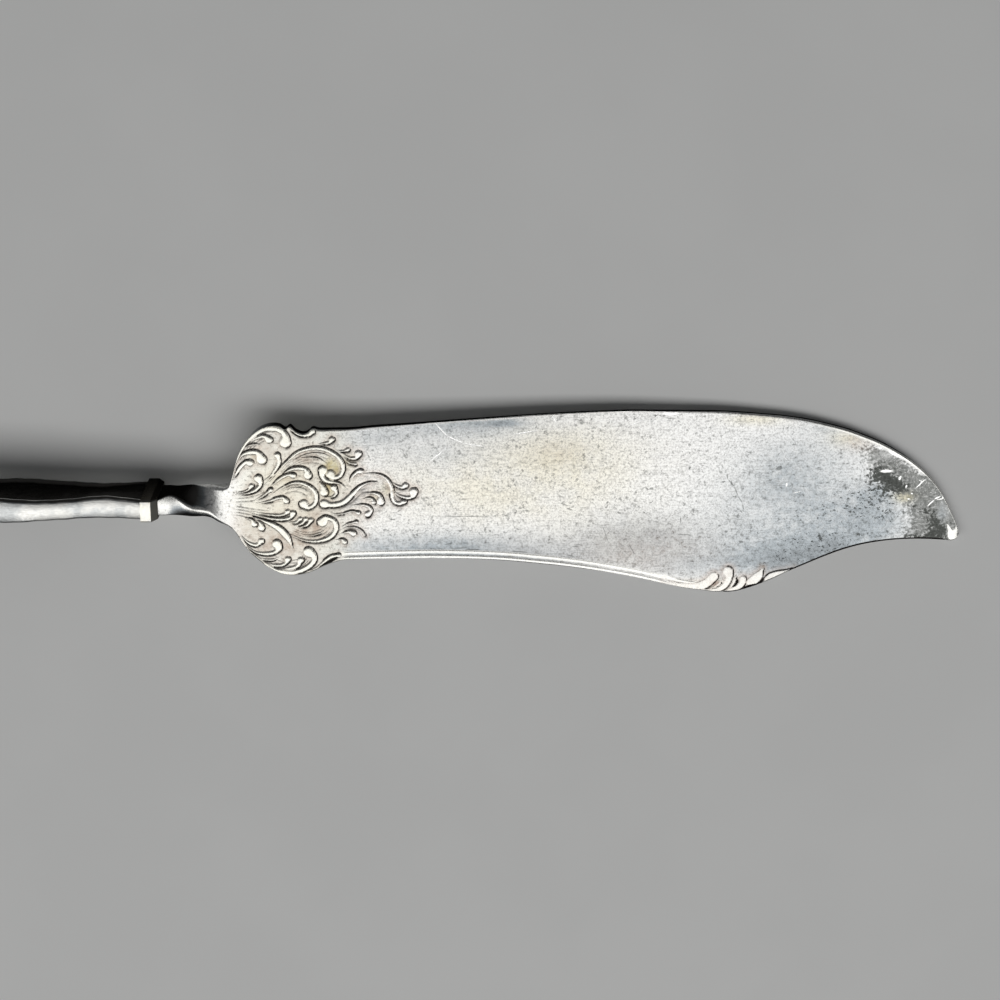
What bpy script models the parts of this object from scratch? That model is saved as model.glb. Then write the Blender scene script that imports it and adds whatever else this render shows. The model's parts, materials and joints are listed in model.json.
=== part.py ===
"""Master butter knife with a twisted neck.

The blade, its scroll-edged shoulders, the twisted shank and the tang are one forging. The handle is a
pair of struck half shells, soldered along a middle seam, closed at the mouth by a collar and filled
with cement that grips the tang.

Knife axes: X runs from the handle to the tip, through the middle of the collar. Y points to the
cutting edge and Z out of the blade's face. The handle's wide faces look along +Y and -Y, so the shank
turns a quarter turn between handle and blade, and stops a degree short of flat. The whole knife lies
on a table, face up, on the lower edge of the handle's end and on the tip. Sizes are in metres.
"""

import math

import bmesh
import bpy
import numpy as np
from mathutils import Euler, Vector

# Blade, seen on its face
BLADE_LENGTH = 0.0863
SHOULDER_LENGTH = 0.0135
SHOULDER_RISE = 0.00925
SHOULDER_DROP = 0.0091
EDGE_RISE = 0.01115
BELLY_DROP = 0.0114

# Blade, through its thickness
SPINE_THICKNESS = 0.0018
ROOT_EDGE_THICKNESS = 0.0012
EDGE_THICKNESS = 0.0009
TIP_THICKNESS = 0.0010
BLADE_CHAMFER = 0.0002
CHAMFER_LIMIT = 0.3

# Threads along the spine, and the ornament's height above the face
BEAD_STEP = 0.00022
BEAD_HEIGHT = 0.00022
SCROLL_HEIGHT = 0.00032
BEAD_FADE = 0.0017

# Twisted neck
NECK_LENGTH = 0.00775
NECK_RISE = 0.0018
NECK_DROP = 0.0027
WAIST_WIDTH = 0.0039
NECK_THICKNESS = 0.0018
SHANK_WIDTH = 0.0060
SHANK_THICKNESS = 0.00184
SHANK_SWELL = 0.0024
QUARTER_TURN = math.radians(90)

# Tang inside the handle
TANG_LENGTH = 0.0360
TANG_WIDTH = 0.0036
TANG_THICKNESS = 0.0006
TANG_END_SHARE = 0.7

# Collar
COLLAR_BAND = 0.0012
COLLAR_NOSE = 0.0007
COLLAR_WIDTH = 0.0084
COLLAR_THICKNESS = 0.0027
COLLAR_WALL = 0.0003
COLLAR_LIP = 0.0009

# Handle
HANDLE_LENGTH = 0.0900
HANDLE_END_WIDTH = 0.0158
HANDLE_MOUTH_WIDTH = 0.0080
HANDLE_WAIST_WIDTH = 0.0060
HANDLE_MOUTH_THICKNESS = 0.0022
HANDLE_END_THICKNESS = 0.0044
SHELL_WALL = 0.0004
BORDER_WIDTH = 0.0009
BORDER_ROUND = 0.00025
PANEL_STEP = 0.00035
PANEL_DEPTH = 0.00015
PANEL_CROWN = 0.0003
PANEL_FADE = 0.0090
END_CAP = 0.0016
CEMENT_START = 0.0020

# Clearances: a film of solder at the seams, a film of cement round the core
SOLDER_FILM = 0.00005
CEMENT_FILM = 0.00006

# The blade leans towards its cutting edge, so the knife stands square on the handle's lower edge
BLADE_LEAN = math.radians(1.15)

# Places along X that follow from the sizes
COLLAR_BACK = -COLLAR_BAND / 2
COLLAR_FRONT = COLLAR_BAND / 2 + COLLAR_NOSE
SLOT_BACK = COLLAR_FRONT - COLLAR_LIP
NECK_END = COLLAR_FRONT + NECK_LENGTH
SHOULDER_END = NECK_END + SHOULDER_LENGTH
TIP = NECK_END + BLADE_LENGTH
UNDERSIDE = -NECK_THICKNESS / 2
BELLY_SHARE = 0.62
BELLY = SHOULDER_END + BELLY_SHARE * (TIP - SHOULDER_END)

# The spine's outline past the shoulder: share of the way to the tip, share of the belly's drop
SPINE_SHARES = [
    (0.07, 0.616), (0.145, 0.608), (0.262, 0.632), (0.372, 0.707), (0.482, 0.833), (0.55, 0.94),
    (0.5785, 0.971), (BELLY_SHARE, 1.0), (0.647, 0.981), (0.675, 0.924), (0.73, 0.762), (0.785, 0.607),
    (0.84, 0.488), (0.895, 0.432), (0.937, 0.424), (0.982, 0.438), (0.991, 0.438), (0.996, 0.423),
    (1.0, 0.377),
]
# The cutting edge's outline past the shoulder: share of the way to the tip, share of the edge's rise
EDGE_SHARES = [
    (0.1645, 0.883), (0.371, 0.973), (0.467, 1.0), (0.611, 0.976), (0.714, 0.915), (0.783, 0.829),
    (0.8655, 0.637), (0.9205, 0.418), (0.9613, 0.15), (0.9823, -0.09), (0.9913, -0.2), (1.0, -0.35),
]
# The shoulder's scalloped outline: share of its length, share of its rise or drop
SHOULDER_TOP_SHARES = [
    (0.03, 0.227), (0.052, 0.324), (0.081, 0.476), (0.111, 0.605), (0.148, 0.714), (0.207, 0.832),
    (0.281, 0.93), (0.356, 0.984), (0.407, 1.0), (0.481, 0.989), (0.526, 0.951), (0.563, 0.989),
    (0.622, 0.919), (0.726, 0.919), (0.748, 0.96), (0.815, 0.957), (1.0, 0.968),
]
SHOULDER_BOTTOM_SHARES = [
    (0.037, 0.341), (0.081, 0.429), (0.126, 0.549), (0.185, 0.67), (0.259, 0.78), (0.333, 0.868),
    (0.407, 0.934), (0.481, 0.984), (0.556, 1.0), (0.63, 0.995), (0.704, 0.967), (0.778, 0.918),
    (0.852, 0.868), (0.926, 0.824), (1.0, 0.791),
]
# The handle's outline: share of its length from the collar, and where it lies between the narrow
# waist (0), the mouth (about 0.2) and the broad end (1)
HANDLE_SHARES = [
    (0.06, 0.0), (0.11, 0.2), (0.155, 0.3), (0.22, 0.19), (0.34, 0.09), (0.5, 0.19), (0.64, 0.41),
    (0.755, 0.65), (0.79, 0.6), (0.835, 0.86), (0.885, 1.0), (0.93, 0.92), (0.97, 0.53),
    (0.988, 0.08), (1.0, -0.35),
]
# The handle's thickness: share of its length, share of the way from the mouth's to the end's
THICKNESS_SHARES = [
    (0.0, 0.0), (0.06, 0.1), (0.11, 0.0), (0.19, 0.25), (0.45, 0.6), (0.75, 1.0), (0.9, 1.0), (1.0, 0.55),
]
# Extra stations in the handle's narrow stretch behind the collar
NARROW_SHARES = [0.022, 0.04, 0.06, 0.083]
# The most of a shell's half width that the border with its step, and the step alone, may take
BORDER_LIMIT = 0.6
STEP_LIMIT = 0.2
PANEL_SHARES = (1.0, 0.66, 0.33, 0.0)
# The neck between collar and shoulder: share of its length, share of the shank's width
NECK_SHARES = [(0.0, 0.5), (0.25, 0.46), (0.48, 0.4)]
WAIST_PLACE = 0.74
SWELL_PLACE = 0.21
SWELL_END = 0.5
TWIST_START = 0.27

# The main scrolls of the shoulder: points in millimetres from the neck, along X and Y, and half width
SCROLLS = [
    ([(0.5, 2.6), (1.6, 6.0), (3.6, 8.3), (5.5, 8.9), (6.9, 8.4), (7.1, 7.4)], 0.55),
    ([(1.5, 5.2), (2.6, 6.1), (3.8, 5.9), (4.2, 5.2)], 0.5),
    ([(4.0, 1.6), (6.8, 4.6), (9.6, 6.4), (12.0, 6.3), (13.5, 4.6), (12.9, 3.1)], 0.6),
    ([(5.2, 1.0), (7.9, 2.4), (10.0, 1.6), (10.3, 0.0), (9.2, -0.6)], 0.5),
    ([(3.2, -2.0), (5.8, -3.2), (7.1, -4.9), (7.4, -5.8)], 0.5),
    ([(7.5, -4.2), (10.2, -5.0), (12.5, -4.0), (12.7, -2.4), (11.4, -1.8)], 0.6),
    ([(2.4, -5.6), (5.0, -8.1), (8.0, -8.7), (10.0, -7.4), (9.7, -6.3)], 0.55),
    ([(11.4, -0.2), (14.0, 0.0), (16.6, 2.2), (18.8, 2.8), (19.5, 0.8), (20.6, -0.1)], 0.55),
    ([(19.6, 1.3), (21.2, 0.5), (22.0, 1.0)], 0.5),
]
# The leaf cluster on the belly: points in millimetres from the belly's lowest point, and half width
LEAVES = [
    ([(-4.0, 0.8), (-2.4, 1.0), (-1.2, 2.0)], 0.5),
    ([(-2.6, 0.3), (-0.6, 0.5), (0.6, 1.8), (0.5, 2.8)], 0.6),
    ([(0.0, 0.2), (1.6, 0.9), (2.35, 1.8)], 0.45),
    ([(2.8, 0.9), (3.6, 1.8), (4.4, 2.7)], 0.6),
    ([(5.0, 1.7), (6.4, 2.3), (8.0, 3.0)], 0.4),
]
MM = 0.001
RELIEF_MARGIN = 0.5
SCROLLS_END = NECK_END + MM * (max(x for points, _ in SCROLLS for x, _ in points) + RELIEF_MARGIN)
LEAVES_START = BELLY + MM * (min(x for points, _ in LEAVES for x, _ in points) - RELIEF_MARGIN)
LEAVES_END = BELLY + MM * (max(x for points, _ in LEAVES for x, _ in points) + RELIEF_MARGIN)

# How finely each piece is divided
SHANK_STEP = 0.00055
SCROLL_STEP = 0.0005
PLAIN_STEP = 0.0026
LEAF_STEP = 0.0008
TIP_STEP = 0.0016
FACE_POINTS = 22
BACK_POINTS = 9
COLLAR_POINTS = 32
SPINE_OFFSETS = np.array([0.91, 1.9, 3.4, 4.5, 6.8, 10.0]) * BEAD_STEP
BEAD_PROFILE = np.array([1.0, -0.2, 1.0, 0.0, 0.0, 0.0]) * BEAD_HEIGHT


def clear_scene():
    for item in list(bpy.data.objects):
        bpy.data.objects.remove(item, do_unlink=True)


def metal(name, colour, roughness, metallic):
    material = bpy.data.materials.new(name)
    material.use_nodes = True
    shader = material.node_tree.nodes["Principled BSDF"]
    shader.inputs["Base Color"].default_value = (*colour, 1.0)
    shader.inputs["Roughness"].default_value = roughness
    shader.inputs["Metallic"].default_value = metallic
    return material


def smooth_curve(knots, x):
    """Height at x of a smooth curve through the knots, each (x, height), in order of x."""
    places, heights = np.array(knots, float).T
    slopes = np.gradient(heights, places)
    x = np.clip(x, places[0], places[-1])
    left = np.clip(np.searchsorted(places, x) - 1, 0, len(places) - 2)
    width = places[left + 1] - places[left]
    t = (x - places[left]) / width
    start = (1 + 2 * t) * (1 - t) ** 2 * heights[left] + t * (1 - t) ** 2 * width * slopes[left]
    end = t**2 * (3 - 2 * t) * heights[left + 1] + t**2 * (t - 1) * width * slopes[left + 1]
    return start + end


def ease(x, start, end):
    """0 before start, 1 after end, and a smooth step between them."""
    t = np.clip((x - start) / (end - start), 0.0, 1.0)
    return t * t * (3 - 2 * t)


def spaced(start, end, step):
    """Places from start up to end, about one step apart, without the end itself."""
    return list(np.linspace(start, end, max(2, round((end - start) / step)), endpoint=False))


def loft(name, rings, material, ring_of_rings=False):
    """Skin rings with the same number of points into one closed body, with fans over open ends."""
    mesh = bmesh.new()
    rows = [[mesh.verts.new(point) for point in ring] for ring in rings]
    pairs = list(zip(rows, rows[1:]))
    if ring_of_rings:
        pairs.append((rows[-1], rows[0]))
    for first, second in pairs:
        for i in range(len(first)):
            mesh.faces.new((first[i - 1], first[i], second[i], second[i - 1]))
    if not ring_of_rings:
        for row in (rows[0], rows[-1]):
            middle = sum((vertex.co for vertex in row), Vector()) / len(row)
            hub = mesh.verts.new(middle)
            for i in range(len(row)):
                mesh.faces.new((row[i - 1], row[i], hub))
    return finish(name, mesh, material)


def finish(name, mesh, material):
    """Turn a bmesh into a named, smooth-shaded object."""
    bmesh.ops.recalc_face_normals(mesh, faces=mesh.faces)
    data = bpy.data.meshes.new(name)
    mesh.to_mesh(data)
    mesh.free()
    data.materials.append(material)
    data.shade_smooth()
    data.set_sharp_from_angle(angle=math.radians(40))
    item = bpy.data.objects.new(name, data)
    bpy.context.scene.collection.objects.link(item)
    return item


def outline(shoulder_shares, shoulder_size, blade_shares, blade_size, waist, neck):
    """Knots of one edge of the forging, from the collar's nose to the tip."""
    neck_knots = [(SLOT_BACK, SHANK_WIDTH / 2)]
    neck_knots += [(COLLAR_FRONT + a * NECK_LENGTH, b * SHANK_WIDTH) for a, b in NECK_SHARES]
    neck_knots += [(COLLAR_FRONT + WAIST_PLACE * NECK_LENGTH, waist), (NECK_END, neck)]
    shoulder = [(NECK_END + a * SHOULDER_LENGTH, b * shoulder_size) for a, b in shoulder_shares]
    rest = TIP - SHOULDER_END
    blade = [(SHOULDER_END + a * rest, b * blade_size) for a, b in blade_shares]
    return neck_knots + shoulder + blade


EDGE_LINE = outline(
    SHOULDER_TOP_SHARES, SHOULDER_RISE, EDGE_SHARES, EDGE_RISE, WAIST_WIDTH / 2, NECK_RISE
)
SPINE_LINE = outline(
    SHOULDER_BOTTOM_SHARES, SHOULDER_DROP, SPINE_SHARES, BELLY_DROP, WAIST_WIDTH / 2, NECK_DROP
)


def ridge_height(x, y, points, half_width):
    """Height, from 0 to 1, of a rounded ridge along a smooth line through the points."""
    points = np.array(points, float)
    knots = np.arange(len(points))
    along = np.linspace(0, len(points) - 1, 6 * len(points))
    line_x = smooth_curve(np.column_stack([knots, points[:, 0]]), along)
    line_y = smooth_curve(np.column_stack([knots, points[:, 1]]), along)
    away = np.hypot(x[:, None] - line_x, y[:, None] - line_y).min(axis=1)
    return np.sqrt(np.clip(1 - (away / half_width) ** 2, 0, 1))


def relief(x, across):
    """Height of the scrolls and of the belly's leaves above the face, at one station."""
    height = np.zeros_like(across)
    for anchor_x, anchor_y, ridges in ((NECK_END, 0.0, SCROLLS), (BELLY, -BELLY_DROP, LEAVES)):
        near_x = np.full_like(across, (x - anchor_x) / MM)
        near_y = (across - anchor_y) / MM
        for points, half_width in ridges:
            height = np.maximum(height, ridge_height(near_x, near_y, points, half_width))
    return SCROLL_HEIGHT * height


def section(x, low, high, front, back, chamfer, turn):
    """One ring of the forging at x: across the face, down the edge, across the back and up the spine.

    The section spans low to high and back to front, before it turns about the X axis.
    """
    near_spine = low + chamfer + SPINE_OFFSETS - SPINE_OFFSETS[0]
    across = np.concatenate([near_spine, np.linspace(near_spine[-1], high - chamfer, FACE_POINTS)[1:]])
    face = front(across)
    under = np.linspace(high - chamfer, low + chamfer, BACK_POINTS)
    u = np.concatenate([across, [high, high], under, [low, low]])
    edge = [face[-1] - chamfer, back + chamfer]
    spine = [back + chamfer, face[0] - chamfer]
    v = np.concatenate([face, edge, np.full(BACK_POINTS, back), spine])
    y = u * math.cos(turn) - v * math.sin(turn)
    z = u * math.sin(turn) + v * math.cos(turn)
    return [(x, y[i], z[i]) for i in range(len(u))]


def level(height):
    """A face at one height all across."""
    return lambda across: np.full_like(across, height)


def tang_ring(x, width):
    half = TANG_THICKNESS / 2
    return section(x, -width / 2, width / 2, level(half), -half, BLADE_CHAMFER, -QUARTER_TURN)


def shank_ring(x):
    thickness = smooth_curve(
        [
            (SLOT_BACK, SHANK_THICKNESS),
            (COLLAR_FRONT, SHANK_THICKNESS),
            (COLLAR_FRONT + SWELL_PLACE * NECK_LENGTH, SHANK_SWELL),
            (COLLAR_FRONT + SWELL_END * NECK_LENGTH, NECK_THICKNESS),
            (NECK_END, NECK_THICKNESS),
        ],
        x,
    )
    low, high = -smooth_curve(SPINE_LINE, x), smooth_curve(EDGE_LINE, x)
    turned = ease(x, COLLAR_FRONT + TWIST_START * NECK_LENGTH, NECK_END)
    turn = -QUARTER_TURN + (QUARTER_TURN - BLADE_LEAN) * turned
    half = thickness / 2
    return section(x, low, high, level(half), -half, BLADE_CHAMFER, turn)


def blade_ring(x):
    low, high = -smooth_curve(SPINE_LINE, x), smooth_curve(EDGE_LINE, x)
    root = (NECK_END, NECK_THICKNESS)
    spine = smooth_curve([root, (SHOULDER_END, SPINE_THICKNESS), (TIP, TIP_THICKNESS)], x)
    edge = smooth_curve([root, (SHOULDER_END, ROOT_EDGE_THICKNESS), (TIP, EDGE_THICKNESS)], x)
    begun = ease(x, SHOULDER_END - BEAD_FADE, SHOULDER_END)
    beads = begun * (1 - ease(x, LEAVES_START, LEAVES_START + 4 * LEAF_STEP))

    def face(across):
        share = (across - low) / (high - low)
        height = UNDERSIDE + spine * (1 - share) + edge * share + relief(x, across)
        height[: len(BEAD_PROFILE)] += beads * BEAD_PROFILE
        return height

    room = min(BLADE_CHAMFER, CHAMFER_LIMIT * (high - low))
    return section(x, low, high, face, UNDERSIDE, room, -BLADE_LEAN)


def make_blade(material):
    rings = [
        tang_ring(-TANG_LENGTH, TANG_END_SHARE * TANG_WIDTH),
        tang_ring(-TANG_LENGTH + TANG_WIDTH / 2, TANG_WIDTH),
        tang_ring(SLOT_BACK, TANG_WIDTH),
    ]
    rings += [shank_ring(x) for x in spaced(SLOT_BACK, NECK_END, SHANK_STEP)]
    tip_round = TIP - 2 * TIP_STEP
    stretches = [
        (NECK_END, SCROLLS_END, SCROLL_STEP),
        (SCROLLS_END, LEAVES_START, PLAIN_STEP),
        (LEAVES_START, LEAVES_END, LEAF_STEP),
        (LEAVES_END, tip_round, TIP_STEP),
        (tip_round, TIP, TIP_STEP / 4),
    ]
    for start, end, step in stretches:
        rings += [blade_ring(x) for x in spaced(start, end, step)]
    rings.append(blade_ring(TIP))
    return loft("blade", rings, material)


def rounded_slab(x, width, thickness, rounding):
    """A ring of COLLAR_POINTS round a flat bar's section, wide along Z, with quarter-round corners."""
    ring = []
    for i in range(COLLAR_POINTS):
        corner = i * 4 // COLLAR_POINTS
        part = (i - corner * COLLAR_POINTS / 4) / (COLLAR_POINTS / 4 - 1)
        angle = math.radians(90) * (corner + part)
        side_z = 1 if corner in (0, 3) else -1
        side_y = 1 if corner in (0, 1) else -1
        z = side_z * (width / 2 - rounding) + rounding * math.cos(angle)
        y = side_y * (thickness / 2 - rounding) + rounding * math.sin(angle)
        ring.append((x, y, z))
    return ring


def make_collar(material):
    bore = (COLLAR_WIDTH - 2 * COLLAR_WALL, COLLAR_THICKNESS - 2 * COLLAR_WALL, BORDER_ROUND)
    outer = (COLLAR_WIDTH, COLLAR_THICKNESS, 2 * BORDER_ROUND)
    nose = (SHANK_WIDTH + 2 * COLLAR_WALL, SHANK_THICKNESS + 2 * COLLAR_WALL, BORDER_ROUND)
    slot = (SHANK_WIDTH + 2 * SOLDER_FILM, SHANK_THICKNESS + 2 * SOLDER_FILM, BLADE_CHAMFER / 2)
    rings = [
        rounded_slab(COLLAR_BACK, *bore),
        rounded_slab(COLLAR_BACK, *outer),
        rounded_slab(COLLAR_BACK + COLLAR_BAND, *outer),
        rounded_slab(COLLAR_FRONT, *nose),
        rounded_slab(COLLAR_FRONT, *slot),
        rounded_slab(SLOT_BACK, *slot),
        rounded_slab(SLOT_BACK, *bore),
    ]
    return loft("handle_collar", rings, material, ring_of_rings=True)


def handle_half_width(x):
    """Half of the handle's width at x, which runs from the collar at 0 to minus its length."""
    waist = HANDLE_WAIST_WIDTH / 2
    end = HANDLE_END_WIDTH / 2
    knots = [(0.0, HANDLE_MOUTH_WIDTH / 2)]
    knots += [(a * HANDLE_LENGTH, waist + b * (end - waist)) for a, b in HANDLE_SHARES]
    return smooth_curve(knots, -x)


def handle_half_thickness(x):
    """Half of the handle's thickness at its border."""
    mouth, end = HANDLE_MOUTH_THICKNESS / 2, HANDLE_END_THICKNESS / 2
    knots = [(a * HANDLE_LENGTH, mouth + b * (end - mouth)) for a, b in THICKNESS_SHARES]
    return smooth_curve(knots, -x)


def shell_profile(half_width, edge, panel_depth, crown):
    """Half of a shell's outer profile, from the seam over the border to the middle: (z, y) pairs."""
    panel = half_width - min(BORDER_WIDTH + PANEL_STEP, BORDER_LIMIT * half_width)
    border = panel + min(PANEL_STEP, STEP_LIMIT * half_width)
    low = edge - panel_depth
    points = [
        (half_width, SOLDER_FILM / 2),
        (half_width, edge - BORDER_ROUND),
        (half_width - BORDER_ROUND, edge),
        (border, edge),
    ]
    for share in PANEL_SHARES:
        points.append((share * panel, low + crown * (1 - share**2)))
    return np.array(points)


def inner_profile(outer, hollow):
    """The matching inside profile: one wall in from the outside, or flat on the seam where solid."""
    inside = np.column_stack([outer[:, 0] * (1 - SHELL_WALL / outer[0, 0]), outer[:, 1] - SHELL_WALL])
    if not hollow:
        inside[:, 1] = SOLDER_FILM / 2
    inside[0, 1] = SOLDER_FILM / 2
    return inside


def both_halves(profile):
    """A half profile and its mirror image as one row of points, from +Z to -Z."""
    mirrored = profile[-2::-1] * np.array([-1, 1])
    return np.concatenate([profile, mirrored])


def handle_stations():
    """(x, outer profile, hollow) along the handle: the spigot in the collar, then the outline's knots."""
    spigot_width = COLLAR_WIDTH / 2 - COLLAR_WALL - SOLDER_FILM
    spigot_edge = COLLAR_THICKNESS / 2 - COLLAR_WALL - SOLDER_FILM
    spigot = shell_profile(spigot_width, spigot_edge, 0.0, 0.0)
    stations = [(SLOT_BACK - SOLDER_FILM, spigot, True), (COLLAR_BACK, spigot, True)]
    shares = list(NARROW_SHARES)
    knots = [a for a, _ in HANDLE_SHARES[1:]]
    for first, second in zip(knots, knots[1:]):
        shares += [first, (first + second) / 2]
    shares.append(1.0)
    places = [COLLAR_BACK - SOLDER_FILM] + [-a * HANDLE_LENGTH for a in shares]
    for x in places:
        depth = PANEL_DEPTH * ease(-x, 0.0, PANEL_FADE)
        profile = shell_profile(handle_half_width(x), handle_half_thickness(x), depth, PANEL_CROWN)
        stations.append((x, profile, x > -HANDLE_LENGTH + END_CAP))
    return stations


def make_shell(name, side, material):
    """One struck half of the handle, on the side of +Y (1) or -Y (-1)."""
    mesh = bmesh.new()
    rows = []
    for x, outer, hollow in handle_stations():
        skin = both_halves(outer)
        lining = both_halves(inner_profile(outer, hollow))
        row = [mesh.verts.new((x, side * y, z)) for z, y in skin]
        row += [mesh.verts.new((x, side * y, z)) for z, y in lining[::-1]]
        rows.append(row)
    for first, second in zip(rows, rows[1:]):
        for i in range(len(first)):
            mesh.faces.new((first[i - 1], first[i], second[i], second[i - 1]))
    for row in (rows[0], rows[-1]):
        count = len(row) // 2
        for i in range(count - 1):
            mesh.faces.new((row[i], row[i + 1], row[-i - 2], row[-i - 1]))
    return finish(name, mesh, material)


def make_cement(material):
    """The core that fills the shells behind the collar, with a slot for the tang in its mouth."""
    rings = []
    count = 0
    for x, outer, hollow in reversed(handle_stations()):
        if not hollow or x > -CEMENT_START:
            continue
        inside = inner_profile(outer, hollow)[1:] - CEMENT_FILM
        inside[-1, 0] = 0.0
        upper = both_halves(inside)
        lower = upper[::-1] * np.array([1, -1])
        rings.append([(x, y, z) for z, y in np.concatenate([upper, lower])])
        count = len(upper)
        mouth = x
    half_width = TANG_WIDTH / 2 + CEMENT_FILM
    half_thickness = TANG_THICKNESS / 2 + CEMENT_FILM
    top = [(z, half_thickness) for z in np.linspace(half_width, -half_width, count)]
    slot = top + [(z, -y) for z, y in reversed(top)]
    rings += [[(x, y, z) for z, y in slot] for x in (mouth, -TANG_LENGTH - CEMENT_FILM)]
    return loft("handle_cement", rings, material)


def resting_pitch(corners):
    """The tilt about Y at which the lowest points of the handle and of the blade are level."""
    front = corners[:, 0] > 0
    low, high = 0.0, QUARTER_TURN / 9
    for _ in range(40):
        pitch = (low + high) / 2
        heights = corners[:, 2] * math.cos(pitch) - corners[:, 0] * math.sin(pitch)
        if heights[front].min() > heights[~front].min():
            low = pitch
        else:
            high = pitch
    return pitch


def lay_on_table(pieces):
    """Parent the pieces to an empty that rests the handle's end and the tip on the ground plane.

    The box round the knife is then centred on the origin, with its lowest point at height 0.
    """
    corners = np.array([vertex.co for piece in pieces for vertex in piece.data.vertices])
    table = bpy.data.objects.new("knife_on_table", None)
    bpy.context.scene.collection.objects.link(table)
    table.rotation_euler = Euler((0.0, resting_pitch(corners), 0.0))
    turned = corners @ np.array(table.rotation_euler.to_matrix()).T
    lowest, highest = turned.min(axis=0), turned.max(axis=0)
    middle = (lowest + highest) / 2
    table.location = (-middle[0], -middle[1], -lowest[2])
    for piece in pieces:
        piece.parent = table
    return table


def main():
    clear_scene()
    plate = (0.72, 0.71, 0.68)
    pieces = [
        make_blade(metal("worn_silver_blade", plate, 0.35, 1.0)),
        make_collar(metal("silver_collar", plate, 0.3, 1.0)),
        make_shell("handle_front_shell", 1, metal("silver_front", plate, 0.3, 1.0)),
        make_shell("handle_back_shell", -1, metal("silver_back", plate, 0.3, 1.0)),
        make_cement(metal("handle_cement", (0.23, 0.16, 0.11), 0.9, 0.0)),
    ]
    table = lay_on_table(pieces)
    bpy.context.view_layer.update()
    lean = Euler((-BLADE_LEAN, 0.0, 0.0)).to_matrix()
    rest = table.matrix_world @ (lean @ Vector((TIP / 2, 0.0, UNDERSIDE)))
    down = table.rotation_euler.to_matrix() @ lean @ Vector((0.0, 0.0, -1.0))
    print("blade underside", [round(v, 6) for v in rest], [round(v, 6) for v in down])


main()
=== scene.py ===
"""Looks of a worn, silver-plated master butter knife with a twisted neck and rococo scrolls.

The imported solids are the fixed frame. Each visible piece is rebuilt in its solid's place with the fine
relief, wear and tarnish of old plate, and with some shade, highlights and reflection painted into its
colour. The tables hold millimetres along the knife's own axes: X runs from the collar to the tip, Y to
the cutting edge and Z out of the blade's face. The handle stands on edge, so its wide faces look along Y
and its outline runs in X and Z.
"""

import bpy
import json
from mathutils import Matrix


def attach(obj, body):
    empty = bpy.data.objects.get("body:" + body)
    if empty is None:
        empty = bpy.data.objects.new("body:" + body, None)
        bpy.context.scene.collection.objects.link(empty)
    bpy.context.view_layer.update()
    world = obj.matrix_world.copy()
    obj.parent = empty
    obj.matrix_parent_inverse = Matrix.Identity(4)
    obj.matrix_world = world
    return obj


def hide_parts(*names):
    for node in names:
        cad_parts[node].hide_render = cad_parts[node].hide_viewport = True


bl_info = {
    "name": "Twisted Butter Knife",
    "version": (1, 0, 0),
    "blender": (4, 5, 0),
    "location": "View3D > Sidebar > Butter Knife",
    "description": "Builds the looks of a silver-plated master butter knife around its packed solids",
    "category": "Object",
}

import json
import math

import bmesh
import bpy
import numpy as np
from bpy.props import FloatProperty, FloatVectorProperty, IntProperty, PointerProperty
from mathutils import Matrix, Vector

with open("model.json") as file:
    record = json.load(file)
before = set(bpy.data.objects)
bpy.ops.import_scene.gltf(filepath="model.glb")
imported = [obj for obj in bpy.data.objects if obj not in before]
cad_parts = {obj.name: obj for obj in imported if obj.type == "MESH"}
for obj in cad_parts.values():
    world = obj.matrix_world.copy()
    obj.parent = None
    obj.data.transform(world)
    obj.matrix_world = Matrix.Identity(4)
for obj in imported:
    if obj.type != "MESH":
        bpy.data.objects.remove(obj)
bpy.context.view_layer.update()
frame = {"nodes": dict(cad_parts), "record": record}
MM = 0.001

# The knife along X
SHANK_START = 0.85
TANG_RINGS = (-36.0, -34.2, SHANK_START)
COLLAR_MIDDLE = 0.45
COLLAR_BACK = -0.15
NECK_END = 9.5
SCROLLS_END = 32.6
LEAVES_START = 62.5
LEAVES_END = 76.5
TIP_ROUND = 91.0
TIP = 95.785
UNDERSIDE = -0.9
HANDLE_END = -89.55
MOUNT_PLACE = 48.125
CLEARANCE = 0.004
HANDLE_START = 0.45
SPIGOT_END = 0.8
SHANK_END = 10.0

# Outlines: place along X, distance from the knife's axis
EDGE_LINE = (
    (0.4, 3.0), (1.3, 3.0), (3.0, 2.8), (5.2, 2.5), (6.35, 2.1), (7.4, 1.95), (8.6, 1.78), (9.4, 1.8),
    (9.9, 2.15), (10.2, 3.0), (10.6, 4.4), (11.0, 5.6), (11.5, 6.6), (12.3, 7.7), (13.3, 8.6),
    (14.3, 9.1), (15.0, 9.25), (16.0, 9.15), (16.6, 8.8), (17.1, 9.15), (17.8, 8.55), (19.3, 8.5),
    (19.6, 8.8), (20.5, 8.7), (22.0, 8.7), (24.0, 8.72), (27.0, 8.98), (30.0, 9.17), (35.0, 9.52),
    (40.0, 9.86), (45.0, 10.21), (50.0, 10.51), (54.0, 10.71), (57.0, 10.81), (60.0, 10.8),
    (64.0, 10.8), (67.5, 10.77), (72.0, 10.48), (75.0, 10.2), (78.0, 9.72), (80.0, 9.24), (82.0, 8.69),
    (84.0, 7.95), (86.0, 7.1), (88.0, 6.0), (90.0, 4.66), (91.5, 3.35), (93.0, 1.65), (93.7, 0.59),
    (94.5, -0.95), (95.0, -1.97), (95.4, -2.85), (95.65, -3.5), (95.8, -4.0),
)
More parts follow.
